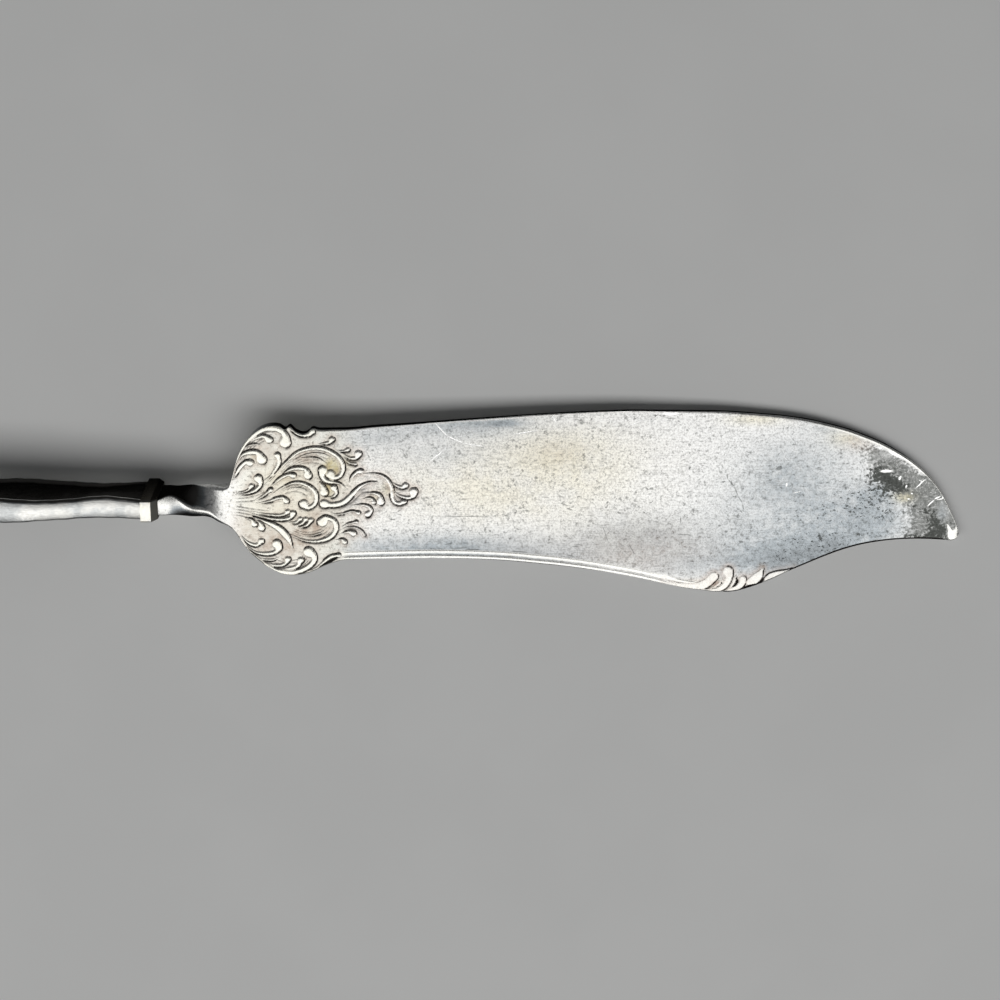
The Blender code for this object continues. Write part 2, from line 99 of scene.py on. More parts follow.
SPINE_LINE = (
    (0.4, 3.0), (1.3, 3.0), (3.0, 2.8), (5.2, 2.5), (6.35, 2.1), (7.4, 2.0), (8.6, 2.58), (9.4, 2.95),
    (10.0, 3.3), (10.6, 3.98), (11.2, 5.0), (12.0, 6.1), (13.0, 7.1), (14.0, 7.9), (15.0, 8.5),
    (16.0, 8.95), (17.0, 9.1), (18.0, 9.05), (19.0, 8.8), (20.0, 8.35), (21.0, 7.9), (22.0, 7.5),
    (23.0, 7.22), (25.0, 7.1), (28.0, 7.02), (34.0, 6.93), (38.0, 7.0), (42.0, 7.2), (46.0, 7.58),
    (50.0, 8.05), (54.0, 8.68), (58.0, 9.48), (62.0, 10.48), (64.0, 10.9), (65.5, 11.12),
    (67.0, 11.34), (68.3, 11.38), (69.5, 11.3), (70.5, 11.08), (72.0, 10.58), (74.0, 9.75),
    (76.0, 8.76), (78.0, 7.86), (80.0, 6.98), (82.0, 6.2), (84.0, 5.6), (86.5, 5.12), (88.5, 4.9),
    (90.5, 4.82), (92.5, 4.86), (94.3, 4.98), (94.9, 5.04), (95.35, 4.92), (95.65, 4.65), (95.8, 4.3),
)
# Half thickness of the shank, and its turn in degrees from the blade's plane
SHANK_HALF = ((0.4, 0.92), (1.3, 0.92), (3.0, 1.2), (5.4, 0.9), (9.5, 0.9))
SHANK_TURN = (
    (0.4, -90.0), (1.3, -90.0), (2.2, -93.0), (3.3, -96.0), (4.4, -88.0), (5.2, -76.0), (6.35, -53.0),
    (7.5, -27.0), (8.7, -5.0), (9.5, 0.0),
)
CORNER_RADIUS = (
    (0.4, 0.2), (3.0, 0.2), (4.4, 0.4), (5.6, 0.72), (7.6, 0.68), (9.0, 0.4), (10.5, 0.2), (20.0, 0.2),
    (25.0, 0.11), (64.0, 0.11), (68.0, 0.2), (95.8, 0.2),
)
SPINE_THICKNESS = ((9.5, 1.8), (23.0, 1.8), (95.8, 1.0))
EDGE_THICKNESS = ((9.5, 1.8), (23.0, 1.2), (95.8, 0.9))
# The tang inside the handle: half width at each of its rings, half thickness, radius of its corners
TANG_HALF_WIDTH = (1.26, 1.8, 1.8)
TANG_HALF = 0.3
TANG_CORNER = 0.15
# A ring's corners above and below in degrees, and how many points its underside has
CORNER_TOP = (67.5, 45.0, 22.5, 0.0)
CORNER_UNDER = (0.0, -45.0)
UNDER_POINTS = 14

# The handle: place behind the collar, half width along Z and half thickness along Y
HANDLE_WIDTH = (
    (0.0, 4.0), (5.4, 3.0), (9.9, 3.98), (13.95, 4.47), (19.8, 3.93), (30.6, 3.44), (45.0, 3.93),
    (57.6, 5.0), (67.95, 6.18), (71.1, 5.94), (75.15, 7.21), (79.65, 7.88), (83.7, 7.5), (87.3, 5.6),
    (88.9, 3.39), (90.0, 1.28),
)
HANDLE_THICKNESS = (
    (0.0, 1.1), (5.4, 1.2), (9.9, 1.1), (17.1, 1.37), (40.5, 1.76), (67.5, 2.18), (81.0, 2.18),
    (90.0, 1.7),
)
# A struck half of the handle
SEAM_GAP = 0.003
SHELL_WALL = 0.4
SHELL_BEVEL = 0.25
SOLID_END = 1.6
SPIGOT_HALF_WIDTH = 3.85
SPIGOT_HALF = 1.0
COLLAR_GAP = 0.05
DENT_DEPTH = 0.035
DENT_WAVES = (1.9, 0.7)
# Its border and panel: width and its largest share of the half width, and heights
BORDER_WIDTH = 0.95
BORDER_SHARE = 0.4
STEP_WIDTH = 0.3
STEP_SHARE = 0.15
BEAD_HEIGHT = 0.12
BEAD_LINE = 0.1
PANEL_DROP = 0.22
PANEL_DROP_START = (0.5, 6.0)
PANEL_CROWN = 0.32
ORNAMENT_START = (3.0, 5.0)
ORNAMENT_END = (87.5, 89.0)
ORNAMENT_CREST = (0.5, 0.9)

# The collar: its band along X, Y and Z, its nose, and the walls left round the slot and the bore
BAND_SIZE = (1.2, 2.7, 8.4)
BAND_CORNER = 0.22
NOSE_LENGTH = 0.7
NOSE_WIDTH = 2.44
NOSE_HEIGHT = 6.6
SLOT_WALL = 0.25
SLOT_DEPTH = 0.9
BORE_WALL = 0.3
BORE_DEPTH = 1.0
COLLAR_ROUND = 0.07

# Edges turned by more than this stay sharp, and points closer than this, in metres, are one
SHARP_TURN = math.radians(65)
SHARP_COLLAR_TURN = math.radians(40)
ROUNDED_COLLAR_TURN = math.radians(28)
SAME_POINT = 1e-7

# Scrolls of the shoulder, from the back to the front of the design. Each has the half width of its
# stem, the radius of its curled head, and the points that its middle line passes through.
SHOULDER_SCROLLS = (
    (0.16, 0.22, ((11.0, 1.2), (12.0, 1.45), (12.5, 2.0))),
    (0.24, 0.36, ((10.7, 0.95), (12.0, 1.1), (13.0, 1.5), (13.55, 2.2), (13.3, 2.9))),
    (0.24, 0.32, ((10.0, 2.6), (10.7, 3.4), (11.3, 4.3), (11.9, 4.85), (12.4, 4.8))),
    (0.34, 0.45, ((11.0, 5.0), (11.6, 5.8), (12.6, 6.1), (13.4, 5.95), (13.75, 5.2))),
    (0.14, 0.0, ((11.4, 6.0), (12.0, 6.7), (12.7, 7.0), (13.4, 7.0), (13.8, 6.7))),
    (0.24, 0.32, ((11.3, 6.3), (12.2, 7.3), (13.3, 7.85), (14.2, 8.0), (14.7, 7.55))),
    (
        0.36, 0.5,
        (
            (10.0, 2.8), (10.8, 5.0), (11.6, 6.7), (12.6, 7.9), (13.8, 8.7), (15.0, 8.95), (16.0, 8.7),
            (16.6, 8.1), (16.55, 7.25),
        ),
    ),
    (0.24, 0.26, ((14.1, 2.6), (14.9, 3.3), (15.5, 4.2), (15.8, 5.0), (15.6, 5.7))),
    (0.28, 0.25, ((17.0, 9.0), (17.7, 8.5), (18.4, 8.15), (19.3, 8.15), (19.75, 8.5))),
    (0.12, 0.0, ((16.5, 4.3), (18.0, 5.2), (20.0, 5.3), (21.2, 4.7), (21.5, 4.1))),
    (0.10, 0.0, ((15.6, 2.9), (17.2, 4.75), (18.6, 5.6), (20.2, 5.9), (21.6, 5.5), (22.4, 4.6))),
    (
        0.26, 0.42,
        (
            (14.0, 2.0), (15.5, 3.6), (16.8, 5.0), (18.2, 6.1), (20.0, 6.5), (21.5, 6.2), (22.8, 5.3),
            (23.25, 4.2), (22.9, 3.2), (22.2, 2.9), (21.75, 3.35),
        ),
    ),
    (0.26, 0.36, ((15.9, 3.0), (17.0, 3.9), (18.0, 4.1), (18.9, 3.9), (19.1, 3.2))),
    (0.20, 0.26, ((14.5, 1.6), (15.8, 2.8), (16.8, 3.3), (17.4, 3.2))),
    (0.10, 0.0, ((15.6, 0.9), (17.0, 1.6), (18.3, 1.6), (19.2, 1.0), (19.3, 0.4))),
    (
        0.26, 0.40,
        (
            (15.0, 1.0), (16.0, 1.7), (17.4, 2.3), (18.6, 2.2), (19.7, 1.5), (20.05, 0.6),
            (19.8, -0.3), (19.1, -0.7), (18.55, -0.25),
        ),
    ),
    (0.16, 0.22, ((12.7, 0.1), (13.6, 0.6), (14.4, 1.2), (14.75, 1.45))),
    (0.20, 0.26, ((13.0, -0.2), (14.5, 0.1), (15.5, 0.45), (16.2, 0.5), (16.5, 0.1))),
    (0.18, 0.22, ((12.5, -1.2), (14.0, -1.5), (15.5, -1.65), (16.3, -1.5), (16.65, -1.2))),
    (0.22, 0.26, ((12.5, -1.5), (14.5, -2.0), (16.0, -2.15), (17.0, -1.9), (17.25, -1.4))),
    (0.19, 0.2, ((16.9, -2.6), (17.6, -2.5), (18.1, -2.1))),
    (0.21, 0.22, ((17.5, -2.95), (18.2, -2.7), (18.75, -2.15))),
    (0.21, 0.22, ((17.9, -3.2), (18.8, -2.9), (19.35, -2.25))),
    (0.12, 0.0, ((17.6, -3.9), (19.0, -4.15), (20.3, -3.9), (21.1, -3.3))),
    (
        0.30, 0.45,
        (
            (17.0, -4.1), (18.5, -4.75), (20.0, -4.85), (21.5, -4.4), (22.25, -3.4), (22.1, -2.4),
            (21.2, -2.0), (20.7, -2.5),
        ),
    ),
    (0.44, 0.0, ((12.7, -1.9), (14.2, -2.5), (15.6, -3.3), (16.4, -4.2), (16.85, -5.0), (17.05, -5.6))),
    (0.18, 0.26, ((11.6, -1.9), (12.4, -2.2), (12.7, -2.75))),
    (0.20, 0.30, ((12.8, -2.2), (13.4, -2.6), (13.5, -3.2))),
    (0.22, 0.26, ((11.2, -4.2), (11.8, -4.9), (12.6, -5.3), (13.1, -5.2), (13.45, -4.8))),
    (0.28, 0.42, ((11.8, -5.5), (12.8, -6.2), (14.0, -6.4), (15.0, -6.2), (15.5, -5.7), (15.25, -5.2))),
    (0.15, 0.0, ((12.5, -6.5), (13.5, -7.05), (14.7, -7.15), (15.6, -6.85))),
    (0.22, 0.26, ((13.0, -7.1), (14.4, -7.75), (15.6, -7.85), (16.3, -7.55), (16.5, -7.1))),
    (0.26, 0.28, ((15.0, -8.35), (16.5, -8.3), (17.6, -7.95), (18.05, -7.2))),
    (
        0.34, 0.48,
        (
            (12.0, -6.0), (14.5, -8.1), (16.0, -8.65), (17.5, -8.65), (18.8, -8.1), (19.55, -7.35),
            (19.6, -6.7), (19.0, -6.2),
        ),
    ),
    (0.24, 0.22, ((19.2, -8.55), (20.2, -7.95), (21.0, -7.25), (21.7, -6.75), (22.5, -6.62))),
    (0.20, 0.25, ((20.5, 7.0), (21.6, 7.15), (22.0, 7.55))),
    (0.14, 0.18, ((22.4, 6.2), (23.2, 6.1), (23.85, 6.3))),
    (0.20, 0.30, ((23.1, 5.9), (24.0, 5.3), (24.8, 5.3), (25.05, 5.8))),
    (0.14, 0.14, ((23.3, 5.3), (24.0, 4.7), (24.7, 4.55))),
    (0.30, 0.38, ((23.4, 1.7), (22.9, 2.15), (22.0, 2.35), (21.2, 2.6), (20.78, 3.2), (20.9, 3.85))),
    (0.34, 0.38, ((20.5, 2.35), (20.85, 1.8), (20.95, 1.15))),
    (0.20, 0.28, ((21.3, 0.55), (22.0, 0.6), (22.4, 1.1), (22.1, 1.7))),
    (0.14, 0.18, ((21.3, -1.0), (22.0, -1.5), (23.0, -1.5), (24.2, -1.2), (24.95, -1.4))),
    (0.20, 0.28, ((24.3, -0.5), (25.2, -0.4), (26.1, -0.6), (26.45, -1.1), (26.05, -1.55))),
    (0.15, 0.2, ((25.4, 0.2), (26.0, 0.4), (26.6, 0.3), (26.75, -0.1))),
    (0.22, 0.34, ((25.9, 1.0), (26.8, 1.0), (27.5, 0.7), (27.55, -0.05))),
    (0.22, 0.24, ((24.0, 2.2), (24.3, 3.0), (24.9, 3.6), (25.3, 3.65))),
    (
        0.36, 0.40,
        (
            (27.1, 2.35), (26.3, 2.3), (25.2, 1.8), (24.2, 0.8), (23.2, -0.1), (22.0, -0.4),
            (20.95, -0.25),
        ),
    ),
    (
        0.24, 0.26,
        (
            (25.4, 3.35), (27.0, 3.35), (28.2, 2.85), (28.85, 1.8), (28.95, 0.6), (29.3, -0.1),
            (29.9, -0.25), (30.3, 0.0),
        ),
    ),
    (0.18, 0.26, ((28.8, 2.4), (29.5, 1.9), (30.1, 1.7), (30.5, 1.95))),
    (0.22, 0.36, ((29.0, 1.4), (29.8, 0.7), (30.8, 0.45), (31.35, 0.65), (31.45, 1.2))),
    (0.13, 0.15, ((22.9, -3.2), (23.5, -2.8), (24.2, -2.6), (24.7, -2.5))),
    (0.13, 0.12, ((22.7, -3.6), (23.6, -3.15), (24.6, -3.2), (25.3, -3.6), (25.6, -4.1))),
    (0.18, 0.28, ((22.8, -4.0), (23.7, -3.7), (24.3, -3.9))),
    (0.14, 0.22, ((22.2, -4.7), (23.0, -4.65), (23.25, -4.95))),
)
# Deep black hollows beside the leaves at both ends of the threads: tapered strokes of (x, y, radius)
BLACK_HOLLOWS = (
    ((20.2, -8.2, 0.1), (20.9, -7.75, 0.2), (21.6, -7.3, 0.18), (22.4, -6.85, 0.08)),
    ((70.1, -11.1, 0.08), (70.8, -10.85, 0.22), (71.4, -10.6, 0.16), (72.0, -10.4, 0.06)),
    ((72.2, -10.3, 0.06), (72.6, -10.05, 0.14), (72.95, -9.85, 0.05)),
    ((69.62, -9.65, 0.03), (69.82, -9.95, 0.09), (69.7, -10.3, 0.08), (69.42, -10.65, 0.03)),
)
# Leaves where the threads of the spine end, on the belly
BELLY_LEAVES = (
    (0.16, 0.0, ((67.9, -11.3), (68.95, -10.75), (69.45, -9.8), (69.5, -8.9))),
    (0.14, 0.0, ((66.3, -11.0), (67.0, -10.75), (67.6, -10.35), (67.95, -9.8))),
    (
        0.46, 0.38,
        (
            (60.6, -9.96), (63.0, -10.51), (64.46, -10.73), (65.43, -10.57), (66.16, -10.19),
            (66.64, -9.75), (66.95, -9.4),
        ),
    ),
    (
        0.32, 0.48,
        (
            (65.4, -11.0), (66.64, -11.14), (67.49, -11.02), (68.22, -10.57), (68.64, -9.94),
            (68.78, -9.3), (68.6, -8.8),
        ),
    ),
    (0.16, 0.14, ((70.0, -11.0), (70.65, -10.7), (70.95, -10.2))),
    (0.34, 0.3, ((68.3, -11.24), (69.31, -11.0), (69.97, -10.62), (70.38, -10.13), (70.42, -9.75))),
    (0.16, 0.1, ((72.33, -10.3), (72.7, -9.94), (73.06, -9.43))),
    (0.5, 0.42, ((72.7, -8.5), (72.5, -8.95), (72.2, -9.4), (71.8, -9.85), (71.4, -10.15))),
    (0.42, 0.0, ((76.3, -8.55), (75.2, -8.95), (74.2, -9.33), (73.4, -9.68), (72.8, -10.0))),
)
# Scrolls of one half of the handle's face, in X and Z; the other half mirrors them
HANDLE_SCROLLS = (
    (0.30, 0.40, ((-49.0, 2.6), (-54.0, 2.9), (-59.0, 3.6), (-62.5, 4.3), (-64.8, 3.7), (-64.2, 2.8))),
    (0.26, 0.34, ((-54.0, 1.5), (-58.0, 1.4), (-61.0, 1.9), (-62.4, 1.2))),
    (
        0.36, 0.55,
        (
            (-60.0, 2.6), (-65.0, 2.6), (-69.0, 3.6), (-72.4, 5.2), (-75.6, 5.9), (-77.9, 4.9),
            (-77.2, 3.7),
        ),
    ),
    (0.32, 0.46, ((-63.0, 1.0), (-68.0, 1.2), (-72.0, 2.4), (-75.0, 2.9), (-76.6, 1.9))),
    (0.30, 0.42, ((-66.0, 5.1), (-68.8, 5.0), (-70.8, 4.2))),
    (0.34, 0.50, ((-75.5, 6.3), (-79.0, 6.7), (-82.2, 6.0), (-84.0, 4.4), (-83.2, 3.3))),
    (0.30, 0.44, ((-77.5, 1.0), (-80.0, 1.9), (-82.4, 1.9), (-83.6, 1.0))),
    (0.30, 0.38, ((-84.5, 5.4), (-86.6, 4.0), (-87.4, 2.3), (-86.6, 1.3))),
    (0.40, 0.0, ((-56.0, 0.0), (-63.0, 0.0), (-70.0, 0.0), (-76.5, 0.0))),
    (0.45, 0.55, ((-78.0, 0.0), (-81.0, 0.0), (-84.0, 0.0), (-86.4, 0.0))),
)
# Fine engraved flutes, each fading from one middle line into another, and how many there are
FLUTES = (
    (
        4,
        ((14.4, 1.9), (16.0, 3.6), (17.4, 4.9), (19.2, 5.9), (21.0, 5.9), (22.3, 4.9)),
        ((15.4, 2.3), (16.8, 3.7), (18.0, 4.5), (19.5, 4.8), (20.8, 4.5), (21.3, 4.0)),
    ),
    (
        3,
        ((14.6, 0.8), (16.0, 1.5), (17.4, 2.0), (18.6, 1.8), (19.4, 1.2), (19.6, 0.5)),
        ((15.2, 0.5), (16.4, 1.0), (17.4, 1.3), (18.2, 1.2), (18.7, 0.9), (19.0, 0.6)),
    ),
    (
        4,
        ((15.0, -2.6), (16.6, -3.8), (18.4, -4.5), (20.0, -4.6), (21.3, -4.0), (21.8, -3.2)),
        ((16.0, -2.4), (17.2, -3.2), (18.4, -3.7), (19.5, -3.7), (20.4, -3.4), (20.9, -3.1)),
    ),
    (
        4,
        ((12.6, -5.9), (14.6, -7.6), (16.4, -8.2), (17.8, -8.1), (18.8, -7.4), (19.1, -6.8)),
        ((13.4, -5.6), (15.0, -6.6), (16.6, -7.2), (17.6, -7.1), (18.2, -6.8), (18.4, -6.4)),
    ),
    (
        4,
        ((10.4, 3.0), (11.2, 5.2), (12.2, 7.0), (13.4, 8.1), (14.8, 8.5), (15.9, 8.0)),
        ((10.8, 3.2), (11.6, 5.0), (12.6, 6.4), (13.8, 7.3), (14.9, 7.7), (15.6, 7.4)),
    ),
    (
        4,
        ((9.8, 1.5), (11.4, 1.4), (13.2, 2.1), (15.0, 3.6)),
        ((9.8, 0.2), (11.4, 0.1), (13.2, 0.3), (15.0, 0.9)),
    ),
    (
        4,
        ((9.8, -0.4), (11.4, -0.6), (13.2, -0.9), (15.0, -1.1)),
        ((9.8, -1.4), (11.4, -1.7), (13.2, -2.3), (15.0, -3.2)),
    ),
    (
        2,
        ((21.2, -0.6), (22.6, -0.6), (23.8, 0.1), (25.0, 1.3), (26.6, 1.9)),
        ((21.8, -0.9), (23.0, -0.8), (24.3, 0.0), (25.4, 1.0), (26.9, 1.5)),
    ),
)
# Threads along the spine: their middles above it, half width, the cut between them, their ends
UPPER_THREAD = 0.82
LOWER_THREAD = 0.2
THREAD_HALF = 0.26
THREAD_GAP = 0.51
GAP_SPREAD = 0.065
GAP_CUT = 0.4
THREADS_START = (22.2, 23.4)
THREADS_END = (64.6, 65.6)
THREAD_STOP = 0.2
# Flutes: depth, spread, and the shares of the length over which they fade in and out
FLUTE_WEIGHT = 0.54
FLUTE_SPREAD = 0.07
FLUTE_START = (0.0, 0.3)
FLUTE_END = (0.8, 1.0)
# Points for each given one along a scroll's line and along a worn stroke, and the stroke's soft rim
LINE_DENSITY = 16
STROKE_DENSITY = 12
STROKE_RIM = (-0.04, 0.06)
# Scrolls: how the stem swells, the head curls and a headless end tapers
STEM_SHARE = 0.3
STEM_SWELL = (0.0, 0.65)
STEM_WIDEN = 0.92
THIN_STEM = (0.02, 0.14)
LEAF_WIDEN = 1.2
HEAD_WIDEN = 1.34
HEAD_TAPER = 0.36
END_TAPER = 0.75
END_START = (0.7, 1.0)
# Their ridge, the groove round them, deepest outside a bend, and the old soil beside it
FULL_RIDGE = 0.3
LEAST_RIDGE = 0.45
COVERED_SHARE = 0.5
BEND_WINDOW = 31
INNER_LINE = 0.4
OUTER_SIDE = 0.5
GROOVE_SPREAD = 0.115
GROOVE_LEAST = 0.5
GROOVE_GAIN = 0.8
GROOVE_BITE = 0.9
CRISP = 0.07
DIRT_SPREAD = 0.5
# The belly, where leaves are lower and finer
BELLY_START = (58.0, 60.0)
BELLY_LINE = 0.82
BELLY_INNER_LINE = 0.05
BELLY_LIFT = 0.35
BELLY_POLISH = 0.7
BELLY_CROWD = 0.5
CROWD_START = (60.0, 63.0)
CROWD_END = (76.0, 79.0)

# Wear of the blade: bright crests and rim, a painted highlight along the cutting edge, and where each
# begins or fades
CREST = (0.5, 0.85)
RIM_START = (76.0, 82.0)
RIM_REACH = (0.36, 0.68)
RIM_COVER = 0.9
THIN_RIM_START = (90.4, 92.0)
THIN_RIM_LESS = (0.16, 0.36)
EDGE_HIGHLIGHT = 0.6
EDGE_HIGHLIGHT_START = (19.0, 22.0)
EDGE_HIGHLIGHT_REACH = (0.13, 0.24)
VEIL_REACH = (-1.8, 2.0)
VEIL_EDGE = (0.1, 1.5)
VEIL_EDGE_LESS = 1.3
# A painted dark reflection along the rounded lower edge near the tip: its start and end along X, its
# reach from the spine, where it fades and by how much
EDGE_REFLECTION_START = (75.9, 76.6)
EDGE_REFLECTION_END = (93.8, 94.2)
EDGE_REFLECTION_REACH = (0.2, 0.36)
EDGE_REFLECTION_FADE = (83.0, 87.0)
EDGE_REFLECTION_LOSS = 0.45
# Painted shade of the turned neck and its walls, a painted shadow on the cutting edge's wall, a painted
# highlight on the neck's ridge, and polish of the edge: degrees of turn or lean, and places along X
SHADE_LEAST_TURN = math.radians(12)
SHADE_MOST_TURN = math.radians(80)
FRONT_LEAN = (26.0, 48.0)
FLANK_LEAN = (18.0, 45.0)
RIDGE_HIGHLIGHT_LEAN = (22.0, 45.0)
NECK_FADE = (8.4, 9.4)
FLANK_START = (4.6, 5.8)
FLANK_PAINTED_SHADE = 0.9
WALL_PAINTED_SHADE = 0.8
SPINE_SHADE_START = (2.2, 4.4)
EDGE_SHADOW_START = (10.0, 17.0)
EDGE_SHADOW_END = (86.0, 93.0)
EDGE_POLISH_START = (70.0, 80.0)
# Stretches of the spine's wall painted black, a painted dark reflection of the rounded lower edge
PAINTED_BLACK_SPINE = ((75.9, 94.2), (10.4, 14.8), (68.2, 72.8))
# Tone of the walls and the underside where it isn't plain, and the most that some zones may add up to
WALL_TONE = {"warm": 0.2, "cool_and_shade": 0.2}
SOIL_MOST = 2.6
COOL_AND_SHADE_MOST = 1.7
PIT_MOST = 1.35

# Zones of the blade's old surface: middle in X and Y, reach in X and Y, strength
WARM_ZONES = (
    (42.0, 1.5, 14.0, 4.5, 1.0), (50.0, 6.0, 9.0, 4.0, 0.6), (18.0, 0.5, 7.0, 6.0, 0.8),
    (82.0, 8.0, 2.6, 1.5, 0.6), (57.0, -5.0, 7.0, 2.5, 0.6), (89.3, 0.6, 1.2, 0.8, 1.2),
    (68.5, -10.5, 5.0, 0.9, 1.2), (71.5, 9.8, 3.5, 0.8, 0.8),
)
# Bluish tarnish zones, which also hold painted shade: the blade darker towards its lower band, its right
# end and its upper left
COOL_AND_SHADE_ZONES = (
    (33.0, -6.2, 8.0, 2.1, 0.85), (45.0, -7.0, 8.0, 2.4, 0.8), (59.0, -5.2, 9.0, 3.0, 0.6),
    (73.0, -7.2, 7.0, 3.2, 0.65), (64.0, -8.2, 5.0, 1.5, 0.45), (75.5, -7.6, 4.5, 1.6, 0.45),
    (80.5, -6.0, 3.0, 1.4, 0.5), (26.0, -5.8, 3.0, 1.6, 0.4), (58.5, -4.2, 6.5, 3.0, 0.24),
    (75.5, -7.4, 4.0, 2.0, 0.35), (80.5, -6.0, 3.0, 1.6, 0.4), (36.0, -5.2, 6.0, 1.6, 0.25),
    (86.0, 0.8, 2.2, 1.6, 0.5), (69.0, -1.0, 5.0, 5.0, 0.25), (80.0, -2.0, 8.5, 6.0, 0.85),
    (74.5, 2.5, 4.5, 3.0, 0.4), (86.0, -3.0, 4.0, 3.0, 0.6), (33.0, 9.4, 9.0, 2.0, 0.6),
    (40.0, 9.6, 5.0, 1.6, 0.5), (27.0, 7.2, 4.0, 1.4, 0.2), (35.0, 5.6, 5.0, 1.2, 0.3),
    (80.5, 9.2, 3.0, 1.2, 0.5), (77.0, 6.0, 7.0, 3.0, 0.35), (93.6, -1.6, 0.9, 1.7, 0.8),
    (23.6, -0.5, 0.7, 0.4, 0.6), (24.6, 0.2, 0.6, 0.5, 0.7), (25.6, 1.1, 0.6, 0.5, 0.7),
    (26.0, 7.6, 3.0, 1.0, 0.2), (42.2, 9.35, 2.0, 0.35, 0.8),
)
YELLOW_ZONES = (
    (21.9, 3.95, 0.85, 1.1, 1.8), (21.45, 1.5, 0.7, 0.7, 1.7), (23.9, 4.9, 0.9, 0.8, 0.6),
    (16.5, 2.9, 2.0, 0.8, 0.35), (28.6, 1.4, 0.9, 1.0, 0.5), (27.0, 0.5, 0.8, 0.6, 0.45),
    (12.9, 5.6, 0.8, 0.6, 0.4), (89.3, 0.5, 1.2, 0.7, 0.8), (82.4, 7.6, 1.8, 0.9, 0.3),
    (48.5, 5.5, 5.0, 2.4, 0.22), (71.0, 9.9, 2.5, 0.6, 0.25),
)
TARNISH_ZONES = (
    (86.3, 3.0, 1.5, 0.75, 1.2), (87.9, 2.0, 1.2, 0.7, 1.1), (86.0, 3.9, 0.9, 0.4, 0.6),
    (88.9, 1.4, 0.7, 0.35, 0.5), (86.6, 4.6, 0.9, 0.4, 0.35), (93.5, -3.9, 0.9, 1.2, 1.0),
    (92.6, -2.4, 0.8, 0.7, 0.8), (91.9, -1.3, 0.9, 0.4, 0.7), (91.0, -4.5, 2.0, 0.35, 0.8),
    (90.35, -0.73, 0.35, 0.1, 0.9), (92.6, -3.8, 0.9, 0.6, 0.6), (86.9, 1.3, 1.8, 0.9, 0.42),
    (84.9, 1.6, 1.2, 1.4, 0.2), (84.4, 6.6, 1.6, 1.0, 0.3),
)
# Where the veil at the tip is thin
GLOSS_ZONES = (
    (93.8, -1.5, 0.75, 1.3, 1.0), (91.1, -2.4, 1.0, 1.4, 0.2), (86.6, 5.6, 1.5, 0.7, 0.7),
    (89.4, 0.3, 0.9, 0.5, 0.9),
)
SOIL_ZONES = (
    (67.1, -10.25, 0.75, 0.5, 2.6), (13.6, 1.2, 2.4, 1.2, 0.5), (16.5, 0.6, 3.0, 2.6, 0.5),
    (15.5, -5.2, 3.6, 2.0, 1.5), (20.0, -2.8, 2.6, 2.0, 1.5), (19.0, 5.6, 2.0, 1.2, 1.4),
    (13.8, 6.0, 1.6, 1.4, 1.4), (11.8, -2.6, 2.2, 2.0, 0.8), (83.5, 7.0, 1.8, 1.0, 0.8),
    (25.6, 0.4, 2.4, 1.8, 0.9), (17.0, 4.5, 5.0, 4.0, 0.15), (17.5, -4.5, 5.5, 4.0, 0.15),
    (22.0, 3.0, 2.6, 3.0, 0.4), (58.5, -6.0, 8.0, 3.2, 0.7), (45.0, -6.4, 6.0, 2.0, 0.3),
    (48.2, 5.8, 3.0, 1.6, 0.38),
)
PIT_ZONES = (
    (84.5, 0.2, 4.5, 2.2, 1.0), (80.0, -1.8, 4.0, 2.0, 0.7), (86.5, -2.2, 3.0, 2.0, 0.7),
    (69.3, -4.2, 2.4, 1.2, 0.55), (77.5, -4.8, 5.0, 1.6, 0.6), (83.0, 6.6, 1.6, 1.4, 0.5),
    (86.5, 0.8, 2.0, 0.8, 1.0), (83.5, -4.2, 2.0, 0.5, 0.8), (86.2, 0.5, 2.4, 0.9, 0.5),
    (74.5, -7.4, 4.5, 1.8, 0.8), (80.5, -5.6, 3.0, 1.4, 0.8),
)
# Left border of the grey veil at the tip: place across the blade, place along it
VEIL_LINE = (
    (-5.0, 89.2), (-3.6, 89.8), (-2.4, 89.8), (-1.0, 89.6), (-0.4, 89.4), (0.5, 88.3), (1.4, 86.8),
    (2.2, 86.0), (3.5, 85.2), (4.6, 85.0), (5.6, 84.6), (7.0, 84.4),
)
# Where the very tip is worn white: tapered strokes of (x, y, radius)
WORN_TIP = (
    ((94.42, -3.05, 0.05), (94.62, -3.5, 0.14), (94.85, -4.0, 0.3), (95.12, -4.4, 0.58)),
    (
        (95.05, -1.8, 0.05), (95.4, -2.7, 0.08), (95.6, -3.3, 0.16), (95.5, -3.9, 0.3),
        (95.15, -4.4, 0.58),
    ),
)
# Scratches, white and dark: middle in X and Y, half length, half width, slope in degrees
BRIGHT_MARKS = (
    (86.85, 3.57, 0.78, 0.2, 2.0), (88.5, 2.74, 0.14, 0.3, -20.0), (89.3, 1.69, 0.11, 0.22, -20.0),
    (89.65, 0.15, 0.2, 0.09, -12.0), (86.05, 6.38, 0.25, 0.14, 0.0), (90.0, 0.82, 0.12, 0.1, 0.0),
    (90.97, 2.03, 0.85, 0.09, 44.5), (90.95, 2.35, 0.25, 0.06, -30.0), (92.3, -0.35, 0.6, 0.1, 46.0),
    (93.05, 0.3, 0.42, 0.11, 28.0), (93.4, 0.12, 0.5, 0.08, 14.0), (93.7, 0.3, 0.15, 0.1, -40.0),
    (87.9, 5.55, 1.1, 0.2, -26.0), (61.4, 10.55, 0.95, 0.36, -1.0), (34.75, 8.6, 1.15, 0.08, -47.0),
    (36.4, 7.4, 1.05, 0.08, -25.0), (38.5, 6.78, 1.35, 0.07, -9.0), (34.2, 5.45, 1.2, 0.08, 40.0),
    (44.5, 8.25, 1.7, 0.07, 10.0), (75.25, 1.9, 0.1, 0.26, -8.0), (76.5, 1.0, 0.5, 0.05, 10.0),
    (47.9, 9.85, 0.5, 0.06, -60.0), (57.5, 9.4, 1.6, 0.05, 22.0),
)
